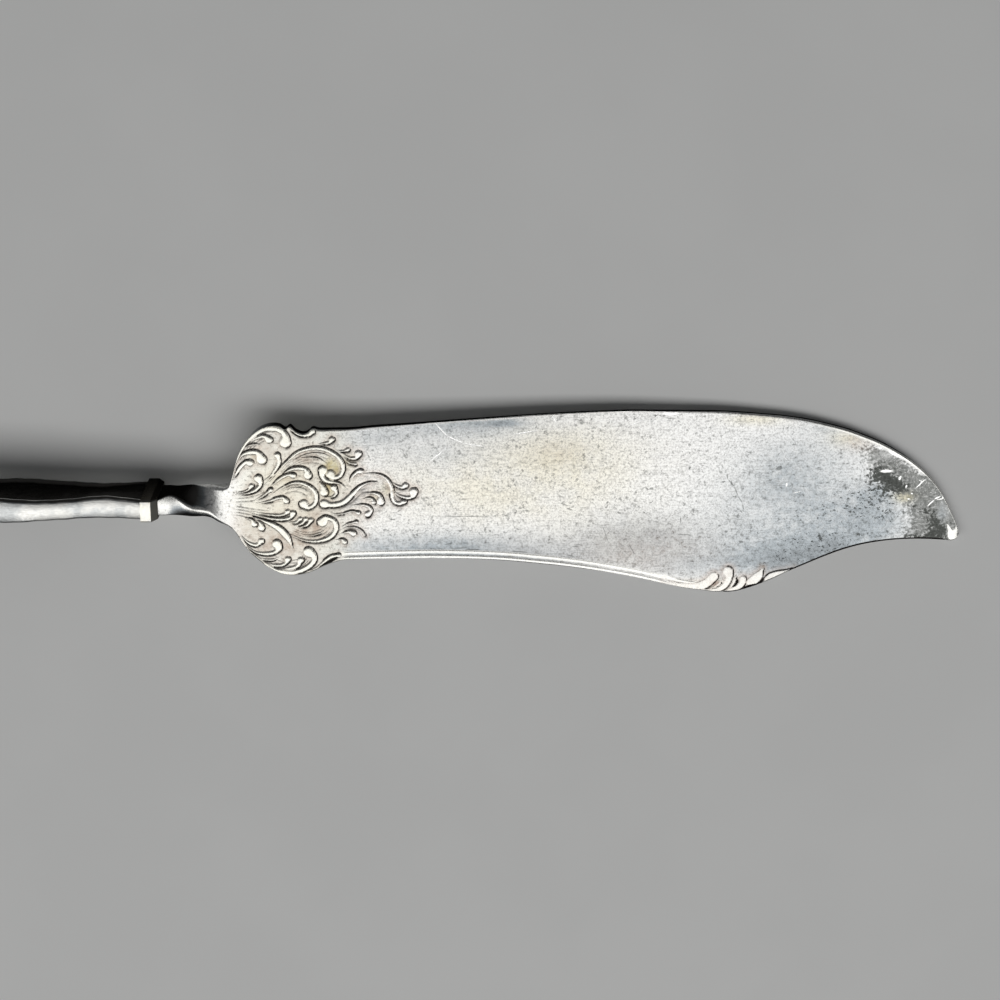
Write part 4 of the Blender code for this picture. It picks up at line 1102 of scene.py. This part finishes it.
def worn_blade_silver(settings):
    """Satin old plate: warm and bluish zones, grain, hairlines, pits, a tarnished tip, dark recesses;
    painted shade, highlights and a dark reflection.
    """
    material, tree, shader = new_material("worn_blade_silver")
    mm = knife_millimetres(tree, BLADE_AXES)
    grain = noise(tree, mm, 4.2, 3.0, 0.75)
    cloud = noise(tree, mm, 0.22, 4.0, 0.6)
    mottle = noise(tree, mm, 1.1, 4.0, 0.65)
    hairs = noise(tree, stretched(tree, mm, (0.16, 7.0, 7.0)), 1.6, 3.0, 0.65)
    slants = noise(tree, stretched(tree, mm, (0.3, 9.0, 9.0), 24.0), 1.3, 2.0, 0.6)
    dashes = noise(tree, stretched(tree, mm, (0.9, 5.5, 5.5), -4.0), 1.0, 2.0, 0.6)

    # Warm and yellow tarnish, and bluish tarnish that also holds painted shade
    warm = times(tree, attribute(tree, "warm"), remap(tree, cloud, 0.3, 0.62, 0.45, 1.0))
    cool_and_shade = times(tree, attribute(tree, "cool_and_shade"), remap(tree, mottle, 0.3, 0.65, 0.75, 1.1))
    yellow = times(tree, attribute(tree, "yellow"), remap(tree, mottle, 0.3, 0.6, 0.5, 1.0))
    colour = blend(tree, warm, settings.silver, settings.warm_silver)
    colour = blend(tree, cool_and_shade, colour, settings.cool_silver)
    colour = blend(tree, yellow, colour, settings.yellow_silver)

    # Pits, in cells that are bent and slanted
    wobble = node(tree, "ShaderNodeTexNoise", {"Vector": mm, "Scale": 2.5, "Detail": 2.0})
    wobble = vector_maths(tree, "SUBTRACT", wobble.outputs["Color"], (0.5, 0.5, 0.5))
    shifted = vector_maths(tree, "MULTIPLY_ADD", wobble, (0.12, 0.12, 0.0), mm)
    bent = vector_maths(tree, "MULTIPLY_ADD", wobble, (0.5, 0.5, 0.0), mm)
    slanted = stretched(tree, bent, (0.75, 1.3, 0.0), -22.0)
    cells = node(tree, "ShaderNodeTexVoronoi", {"Vector": slanted, "Scale": 3.3})
    chance = node(tree, "ShaderNodeSeparateColor", {"Color": cells.outputs["Color"]}).outputs[0]
    crowd = times(tree, attribute(tree, "pits"), remap(tree, mottle, 0.35, 0.6, 0.65, 1.1))
    reach = times(tree, remap(tree, chance, 0.1, 1.0, 0.0, 0.44), crowd)
    pit = remap(tree, maths(tree, "SUBTRACT", reach, cells.outputs["Distance"]), 0.0, 0.12)
    colour = blend(tree, times(tree, pit, 0.75), colour, settings.tarnish)

    # The ragged grey veil and the dark patches at the tip
    flecks = noise(tree, mm, 3.4, 3.0, 0.75)
    spatter = times(tree, remap(tree, noise(tree, bent, 3.0, 2.0, 0.6), 0.3, 0.7), 0.75)
    ragged = plus(tree, spatter, times(tree, remap(tree, mottle, 0.3, 0.7), 0.3))
    veil = remap(tree, plus(tree, attribute(tree, "veil"), ragged), 0.55, 1.45)
    thin = remap(tree, attribute(tree, "gloss"), 0.0, 1.0, 0.94, 0.5)
    worn = remap(tree, flecks, 0.5, 0.72, 1.0, 0.5)
    thin = times(tree, thin, worn)
    colour = blend(tree, times(tree, veil, thin), colour, settings.veil)
    crumbs = noise(tree, bent, 5.0, 2.0, 0.6)
    patchy = plus(tree, ragged, times(tree, crumbs, 0.7))
    dark = remap(tree, plus(tree, attribute(tree, "tarnish"), patchy), 1.08, 1.68)
    colour = blend(tree, times(tree, dark, 0.92), colour, settings.tarnish)

    # Old polish round the scrolls, a fine dark grain over all, and painted shade where the bluish zones
    # are strongest
    soil = times(tree, attribute(tree, "dirt"), remap(tree, mottle, 0.3, 0.65, 0.28, 0.58))
    colour = blend(tree, soil, colour, settings.soil)
    specks = noise(tree, mm, 4.4, 2.0, 0.6)
    along = node(tree, "ShaderNodeSeparateXYZ", {"Vector": mm}).outputs["X"]
    sharp = remap(tree, along, 18.0, 28.0, 0.35, 1.0)
    specks = times(tree, remap(tree, specks, 0.36, 0.56, 1.0, 0.0), sharp)
    speckle = remap(tree, grain, 0.32, 0.68, 0.9, 1.12)
    for value, low, high, to_low, to_high in (
        (specks, 0.0, 1.0, 1.05, 0.76),
        (hairs, 0.3, 0.62, 0.91, 1.03),
        (dashes, 0.62, 0.72, 1.0, 0.62),
        (cool_and_shade, 0.9, COOL_AND_SHADE_MOST, 1.0, 0.7),
    ):
        speckle = times(tree, speckle, remap(tree, value, low, high, to_low, to_high))
    shade = node(tree, "ShaderNodeCombineColor", {0: speckle, 1: speckle, 2: speckle}).outputs[0]
    colour = blend(tree, 1.0, colour, shade, "MULTIPLY")

    # Scratches, rubbed crests and black grooves; the polish and recess channels also carry painted
    # highlights and a painted dark reflection
    scratched = times(tree, marks(tree, shifted, DARK_MARKS), 0.55)
    colour = blend(tree, scratched, colour, settings.tarnish)
    rubbed = attribute(tree, "polish")
    scraped = marks(tree, shifted, BRIGHT_MARKS)
    colour = blend(tree, times(tree, rubbed, 0.85), colour, settings.bright_silver)
    colour = blend(tree, times(tree, scraped, 0.9), colour, settings.scraped_silver)
    polish = maths(tree, "MAXIMUM", rubbed, scraped)
    recess = times(tree, attribute(tree, "recess"), remap(tree, mottle, 0.25, 0.6, 0.85, 1.1))
    recess = remap(tree, recess, 0.15, 0.72)
    colour = blend(tree, recess, colour, settings.recess)

    # The dull film of the shoulders, and the painted shade of the neck and the walls, first bluish, then
    # near black
    streaks = plus(tree, times(tree, mottle, 0.3), times(tree, hairs, 0.3))
    painted_shade = remap(tree, plus(tree, attribute(tree, "painted_shade"), streaks), 0.32, 1.15)
    shoulder = times(tree, remap(tree, along, 9.5, 12.0), remap(tree, along, 21.5, 26.0, 1.0, 0.0))
    colour = blend(tree, shoulder, colour, settings.shoulder_film, "MULTIPLY")
    shade_tinted = blend(tree, remap(tree, painted_shade, 0.0, 0.5), colour, settings.cool_silver)
    colour = blend(tree, times(tree, painted_shade, 0.96), shade_tinted, settings.recess)

    # Gloss and surface
    rough = remap(tree, grain, 0.3, 0.7, settings.roughness - 0.05, settings.roughness + 0.07)
    rough = maths(tree, "SUBTRACT", rough, times(tree, polish, 0.1))
    rough = plus(tree, rough, times(tree, recess, 0.25))
    bump = plus(tree, times(tree, hairs, 0.5), times(tree, grain, 0.4))
    bump = plus(tree, bump, times(tree, slants, 0.3))
    bump = times(tree, bump, remap(tree, polish, 0.2, 1.0, 1.0, 0.25))
    bump = maths(tree, "SUBTRACT", bump, times(tree, pit, 0.9))
    shader.inputs["Metallic"].default_value = 1.0
    # Painted shade and black grooves lose their sheen.
    finish_shader(tree, shader, colour, rough, bump, 0.012 * MM, maths(tree, "MAXIMUM", painted_shade, recess))
    return material


def worn_handle_silver(settings):
    """Brighter plate, rubbed on ridges and borders, with black tarnish left in the panel."""
    material, tree, shader = new_material("worn_handle_silver")
    mm = knife_millimetres(tree, HANDLE_AXES)
    grain = noise(tree, mm, 3.5, 3.0, 0.65)
    cloud = noise(tree, mm, 0.35, 4.0, 0.6)
    hairs = noise(tree, stretched(tree, mm, (0.2, 6.0, 6.0)), 1.5, 3.0, 0.6)
    colour = blend(tree, remap(tree, cloud, 0.35, 0.65), settings.silver, settings.cool_silver)
    panel = times(tree, attribute(tree, "panel"), remap(tree, cloud, 0.3, 0.7, 0.75, 1.15))
    polish = attribute(tree, "polish")
    rubbed = times(tree, polish, remap(tree, cloud, 0.38, 0.6, 0.9, 0.45))
    colour = blend(tree, rubbed, colour, settings.bright_silver)
    colour = blend(tree, remap(tree, panel, 0.1, 0.7), colour, settings.oxide)
    recess = remap(tree, attribute(tree, "recess"), 0.15, 0.72)
    colour = blend(tree, recess, colour, settings.recess)
    rough = remap(tree, grain, 0.3, 0.7, settings.roughness - 0.06, settings.roughness + 0.08)
    rough = plus(tree, rough, times(tree, recess, 0.2))
    bump = plus(tree, times(tree, hairs, 0.4), times(tree, cloud, 4.0))
    shader.inputs["Metallic"].default_value = 1.0
    black = maths(tree, "MAXIMUM", recess, panel)
    finish_shader(tree, shader, colour, rough, bump, 0.02 * MM, black)
    return material


def cream_collar_silver(settings):
    """The collar's warm, rubbed plate, with tarnish along its step and painted shade on its side away
    from the lamp.
    """
    material, tree, shader = new_material("cream_collar_silver")
    mm = knife_millimetres(tree, HANDLE_AXES)
    cloud = noise(tree, mm, 1.4, 4.0, 0.6)
    grain = noise(tree, mm, 6.0, 3.0, 0.6)
    colour = blend(tree, remap(tree, cloud, 0.35, 0.68), settings.bright_silver, settings.warm_silver)
    place = node(tree, "ShaderNodeSeparateXYZ", {"Vector": mm}).outputs["X"]
    nose = remap(tree, plus(tree, place, times(tree, grain, 0.15)), 1.07, 1.21)
    colour = blend(tree, times(tree, nose, 0.75), colour, settings.tarnish)
    # Painted shade: the collar's side towards +Y, away from the lamp, is darkened nearly to black.
    shaded_flank = node(tree, "ShaderNodeSeparateXYZ", {"Vector": mm}).outputs["Y"]
    shaded_flank = remap(tree, plus(tree, shaded_flank, times(tree, grain, 0.1)), 1.12, 1.3)
    colour = blend(tree, times(tree, shaded_flank, 0.9), colour, settings.recess)
    rough = remap(tree, grain, 0.3, 0.7, settings.roughness - 0.08, settings.roughness + 0.05)
    bump = plus(tree, cloud, times(tree, grain, 0.3))
    shader.inputs["Metallic"].default_value = 1.0
    finish_shader(tree, shader, colour, rough, bump, 0.02 * MM, maths(tree, "MAXIMUM", shaded_flank, nose))
    return material


def handle_filler(settings):
    """Matt brown cement with a grainy break."""
    material, tree, shader = new_material("handle_filler")
    mm = knife_millimetres(tree, HANDLE_AXES)
    grain = noise(tree, mm, 2.5, 5.0, 0.7)
    darker = tuple(0.55 * channel for channel in settings.cement)
    colour = blend(tree, remap(tree, grain, 0.35, 0.65), darker, settings.cement)
    rough = remap(tree, grain, 0.3, 0.7, 0.8, 0.95)
    finish_shader(tree, shader, colour, rough, grain, 0.1 * MM)
    return material


def pale_floor(settings):
    """Plain pale board with the faintest unevenness."""
    material, tree, shader = new_material("pale_floor")
    here = node(tree, "ShaderNodeTexCoord", {}).outputs["Object"]
    soft = noise(tree, here, 40.0, 3.0, 0.5)
    darker = tuple(0.97 * channel for channel in settings.floor)
    colour = blend(tree, remap(tree, soft, 0.35, 0.65), darker, settings.floor)
    rough = remap(tree, soft, 0.3, 0.7, 0.7, 0.8)
    finish_shader(tree, shader, colour, rough, soft, 0.01 * MM)
    return material


class KnifeFinish(bpy.types.PropertyGroup):
    """Colours and gloss of the old plate."""

    silver: FloatVectorProperty(
        name="Silver",
        description="Satin plate of the blade",
        subtype="COLOR",
        min=0,
        max=1,
        default=(0.89, 0.885, 0.865),
    )
    warm_silver: FloatVectorProperty(
        name="Warm silver",
        description="Yellowed plate",
        subtype="COLOR",
        min=0,
        max=1,
        default=(0.90, 0.86, 0.745),
    )
    # Also the bluish tone of the painted shade, in the bluish zones and on the neck
    cool_silver: FloatVectorProperty(
        name="Cool silver",
        description="Bluish tarnish film",
        subtype="COLOR",
        min=0,
        max=1,
        default=(0.42, 0.455, 0.475),
    )
    yellow_silver: FloatVectorProperty(
        name="Yellow silver",
        description="Yellow tarnish",
        subtype="COLOR",
        min=0,
        max=1,
        default=(0.6, 0.53, 0.28),
    )
    soil: FloatVectorProperty(
        name="Soil",
        description="Old polish left round the scrolls",
        subtype="COLOR",
        min=0,
        max=1,
        default=(0.48, 0.39, 0.33),
    )
    veil: FloatVectorProperty(
        name="Veil",
        description="Grey film at the tip",
        subtype="COLOR",
        min=0,
        max=1,
        default=(0.185, 0.19, 0.18),
    )
    bright_silver: FloatVectorProperty(
        name="Bright silver",
        description="Plate rubbed bright",
        subtype="COLOR",
        min=0,
        max=1,
        default=(0.82, 0.81, 0.765),
    )
    scraped_silver: FloatVectorProperty(
        name="Scraped silver",
        description="Plate scratched white",
        subtype="COLOR",
        min=0,
        max=1,
        default=(0.97, 0.965, 0.94),
    )
    tarnish: FloatVectorProperty(
        name="Tarnish",
        description="Dark patch at the tip and pits",
        subtype="COLOR",
        min=0,
        max=1,
        default=(0.062, 0.066, 0.06),
    )
    # Also the colour of the painted shade of the neck, its walls and the collar's side, and of the
    # painted dark reflection
    recess: FloatVectorProperty(
        name="Recess",
        description="Black tarnish in grooves",
        subtype="COLOR",
        min=0,
        max=1,
        default=(0.025, 0.022, 0.02),
    )
    shoulder_film: FloatVectorProperty(
        name="Shoulder film",
        description="Dull film over the scrolled shoulders",
        subtype="COLOR",
        min=0,
        max=1,
        default=(0.915, 0.915, 0.87),
    )
    oxide: FloatVectorProperty(
        name="Oxide",
        description="Darkened ground of the handle",
        subtype="COLOR",
        min=0,
        max=1,
        default=(0.045, 0.044, 0.042),
    )
    cement: FloatVectorProperty(
        name="Cement",
        description="Filler inside the handle",
        subtype="COLOR",
        min=0,
        max=1,
        default=(0.23, 0.16, 0.11),
    )
    roughness: FloatProperty(
        name="Roughness",
        description="Satin of the plate",
        subtype="FACTOR",
        min=0,
        max=1,
        default=0.36,
    )


class KnifeShape(bpy.types.PropertyGroup):
    """Heights of the relief and how finely the pieces are divided."""

    scroll_height: FloatProperty(
        name="Scroll height",
        description="Scrolls above the face",
        unit="LENGTH",
        precision=5,
        default=0.08 * MM,
    )
    groove_depth: FloatProperty(
        name="Groove depth",
        description="Outlines below the face",
        unit="LENGTH",
        precision=5,
        default=0.045 * MM,
    )
    thread_height: FloatProperty(
        name="Thread height",
        description="Threads along the spine",
        unit="LENGTH",
        precision=5,
        default=0.03 * MM,
    )
    handle_step: FloatProperty(
        name="Handle step",
        description="Ring spacing on the handle",
        unit="LENGTH",
        precision=5,
        default=0.24 * MM,
    )
    scroll_step: FloatProperty(
        name="Scroll step",
        description="Ring spacing over the scrolls, in millimetres",
        default=0.1,
    )
    face_points: IntProperty(
        name="Face points",
        description="Points across the blade's face",
        default=164,
    )
    panel_points: IntProperty(
        name="Panel points",
        description="Points across half a handle panel",
        default=26,
    )


class KnifeStage(bpy.types.PropertyGroup):
    """Floor, light and camera."""

    floor: FloatVectorProperty(
        name="Floor",
        description="Plain pale floor",
        subtype="COLOR",
        min=0,
        max=1,
        default=(0.81, 0.81, 0.795),
    )
    key_power: FloatProperty(
        name="Key power",
        description="Large soft lamp overhead",
        unit="POWER",
        default=5.3,
    )
    surround: FloatProperty(
        name="Surround",
        description="Strength of the pale surround",
        min=0,
        default=0.1,
    )
    tilt: FloatProperty(
        name="Tilt",
        description="Camera's lean from straight above the blade",
        subtype="ANGLE",
        default=math.radians(18),
    )
    distance: FloatProperty(
        name="Distance",
        description="Camera to the blade",
        unit="LENGTH",
        default=0.28,
    )
    aim: FloatProperty(name="Aim", description="Place along the knife, in millimetres", default=41.6)
    lens: FloatProperty(name="Lens", description="Focal length", unit="CAMERA", default=85.68)


class KNIFE_OT_blade(bpy.types.Operator):
    """Build the blade, its scrolled shoulders, the twisted neck and the tang."""

    bl_idname = "knife.blade"
    bl_label = "Scrolled Blade"

    def execute(self, context):
        forging = Forging(context.scene.knife_shape)
        piece = wrapped_grid("scrolled_blade", forging.corners(), BLADE_AXES, forging.wear())
        dress(piece, worn_blade_silver(context.scene.knife_finish), "worn_silver_blade", "blade")
        return {"FINISHED"}


class KNIFE_OT_shells(bpy.types.Operator):
    """Build the two struck halves of the handle."""

    bl_idname = "knife.shells"
    bl_label = "Handle Shells"

    def execute(self, context):
        material = worn_handle_silver(context.scene.knife_finish)
        for name, side in (("front_shell", 1), ("back_shell", -1)):
            points, wear = shell_rings(context.scene.knife_shape, side)
            piece = wrapped_grid(name, points, HANDLE_AXES, wear)
            dress(piece, material, "silver_handle", "handle_" + name)
        return {"FINISHED"}


def select_end(mesh, sign):
    """In edit mode, select the flat faces at one end of the collar along X."""
    edit = bmesh.from_edit_mesh(mesh)
    ends = [face for face in edit.faces if face.normal.x * sign > 0.99]
    far = max(face.calc_center_median().x * sign for face in ends)
    for face in edit.faces:
        face.select_set(face in ends and face.calc_center_median().x * sign > far - 1e-6)
    bmesh.update_edit_mesh(mesh)


class KNIFE_OT_collar(bpy.types.Operator):
    """Model the collar from a cube: round it, draw out its nose, and open its slot and bore."""

    bl_idname = "knife.collar"
    bl_label = "Collar"

    def execute(self, context):
        bpy.ops.object.select_all(action="DESELECT")
        bpy.ops.mesh.primitive_cube_add(size=1.0)
        piece = context.object
        piece.name = "collar_band"
        bpy.ops.object.mode_set(mode="EDIT")
        bpy.ops.transform.resize(value=BAND_SIZE)
        edit = bmesh.from_edit_mesh(piece.data)
        for edge in edit.edges:
            run = edge.verts[1].co - edge.verts[0].co
            edge.select_set(abs(run.x) > 0.9 * run.length)
        bmesh.update_edit_mesh(piece.data)
        bpy.ops.mesh.bevel(offset=BAND_CORNER, segments=4, affect="EDGES")
        select_end(piece.data, 1)
        bpy.ops.mesh.extrude_region_move(TRANSFORM_OT_translate={"value": (NOSE_LENGTH, 0.0, 0.0)})
        nose = (1.0, NOSE_WIDTH / BAND_SIZE[1], NOSE_HEIGHT / BAND_SIZE[2])
        bpy.ops.transform.resize(value=nose)
        bpy.ops.mesh.inset(thickness=SLOT_WALL)
        bpy.ops.mesh.extrude_region_move(TRANSFORM_OT_translate={"value": (-SLOT_DEPTH, 0.0, 0.0)})
        bpy.ops.mesh.delete(type="ONLY_FACE")
        select_end(piece.data, -1)
        bpy.ops.mesh.inset(thickness=BORE_WALL)
        bpy.ops.mesh.extrude_region_move(TRANSFORM_OT_translate={"value": (BORE_DEPTH, 0.0, 0.0)})
        bpy.ops.mesh.delete(type="ONLY_FACE")
        bpy.ops.mesh.select_all(action="DESELECT")
        bpy.ops.mesh.select_non_manifold()
        bpy.ops.mesh.bridge_edge_loops()
        bpy.ops.mesh.select_all(action="SELECT")
        bpy.ops.transform.translate(value=(COLLAR_MIDDLE, 0.0, 0.0))
        bpy.ops.mesh.normals_make_consistent(inside=False)
        bpy.ops.object.mode_set(mode="OBJECT")
        rounding = piece.modifiers.new("rounding", "BEVEL")
        rounding.width = COLLAR_ROUND
        rounding.segments = 3
        rounding.angle_limit = ROUNDED_COLLAR_TURN
        bpy.ops.object.modifier_apply(modifier=rounding.name)
        piece.data.transform(HANDLE_AXES)
        bpy.ops.object.shade_smooth_by_angle(angle=SHARP_COLLAR_TURN)
        dress(piece, cream_collar_silver(context.scene.knife_finish), "silver_collar", "handle_collar")
        return {"FINISHED"}


class KNIFE_OT_cement(bpy.types.Operator):
    """Finish the cement core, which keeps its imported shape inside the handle."""

    bl_idname = "knife.cement"
    bl_label = "Handle Cement"

    def execute(self, context):
        core = frame["nodes"]["handle_cement"]
        core.data.materials.clear()
        core.data.materials.append(handle_filler(context.scene.knife_finish))
        return {"FINISHED"}


def soft_lamp(name, power, size, place, target):
    """An area lamp of the given size at a place, turned to a target."""
    lamp = bpy.data.lights.new(name, "AREA")
    lamp.shape = "RECTANGLE"
    lamp.size, lamp.size_y = size
    lamp.energy = power
    item = bpy.data.objects.new(name, lamp)
    item.location = place
    item.rotation_euler = (Vector(target) - Vector(place)).to_track_quat("-Z", "Y").to_euler()
    bpy.context.scene.collection.objects.link(item)


class KNIFE_OT_stage(bpy.types.Operator):
    """Lay the floor, hang the lamps and set the camera over the blade."""

    bl_idname = "knife.stage"
    bl_label = "Stage"

    def execute(self, context):
        stage = context.scene.knife_stage
        bpy.ops.object.select_all(action="DESELECT")
        bpy.ops.mesh.primitive_plane_add(size=FLOOR_SIZE)
        floor = context.object
        floor.name = "floor"
        floor.data.materials.append(pale_floor(stage))
        soft_lamp("key_lamp", stage.key_power, LAMP_SIZE, LAMP_PLACE, LAMP_TARGET)
        world = bpy.data.worlds.new("pale_surround")
        world.use_nodes = True
        sky = world.node_tree.nodes["Background"]
        sky.inputs["Color"].default_value = SURROUND_TONE
        sky.inputs["Strength"].default_value = stage.surround
        context.scene.world = world
        camera = bpy.data.objects.new("camera", bpy.data.cameras.new("camera"))
        camera.data.lens = stage.lens
        camera.data.sensor_width = FILM_WIDTH
        context.scene.collection.objects.link(camera)
        back = Vector((0.0, math.sin(stage.tilt), math.cos(stage.tilt)))
        up = Vector((0.0, math.cos(stage.tilt), -math.sin(stage.tilt)))
        turn = BLADE_AXES.to_3x3().normalized() @ Matrix((Vector((1.0, 0.0, 0.0)), up, back)).transposed()
        eye = BLADE_AXES @ (Vector((stage.aim, 0.0, 0.0)) + back * stage.distance / MM)
        camera.matrix_world = Matrix.Translation(eye) @ turn.to_4x4()
        context.scene.camera = camera
        context.scene.view_settings.view_transform = "Standard"
        return {"FINISHED"}


class KNIFE_PT_panel(bpy.types.Panel):
    """Lists the knife's pieces and settings."""

    bl_idname = "KNIFE_PT_panel"
    bl_label = "Butter Knife"
    bl_space_type = "VIEW_3D"
    bl_region_type = "UI"
    bl_category = "Butter Knife"

    def draw(self, context):
        for group in (context.scene.knife_shape, context.scene.knife_finish, context.scene.knife_stage):
            box = self.layout.box()
            for label in group.bl_rna.properties.keys():
                if label not in ("rna_type", "name"):
                    box.prop(group, label)
        for operator in OPERATORS:
            self.layout.operator(operator.bl_idname)


OPERATORS = (KNIFE_OT_blade, KNIFE_OT_shells, KNIFE_OT_collar, KNIFE_OT_cement, KNIFE_OT_stage)
CLASSES = (KnifeFinish, KnifeShape, KnifeStage, *OPERATORS, KNIFE_PT_panel)


def register():
    for item in CLASSES:
        bpy.utils.register_class(item)
    bpy.types.Scene.knife_finish = PointerProperty(type=KnifeFinish)
    bpy.types.Scene.knife_shape = PointerProperty(type=KnifeShape)
    bpy.types.Scene.knife_stage = PointerProperty(type=KnifeStage)


def unregister():
    del bpy.types.Scene.knife_stage
    del bpy.types.Scene.knife_shape
    del bpy.types.Scene.knife_finish
    for item in reversed(CLASSES):
        bpy.utils.unregister_class(item)


def main():
    register()
    bpy.ops.knife.blade()
    bpy.ops.knife.shells()
    bpy.ops.knife.collar()
    bpy.ops.knife.cement()
    bpy.ops.knife.stage()


if __name__ == "__main__":
    main()
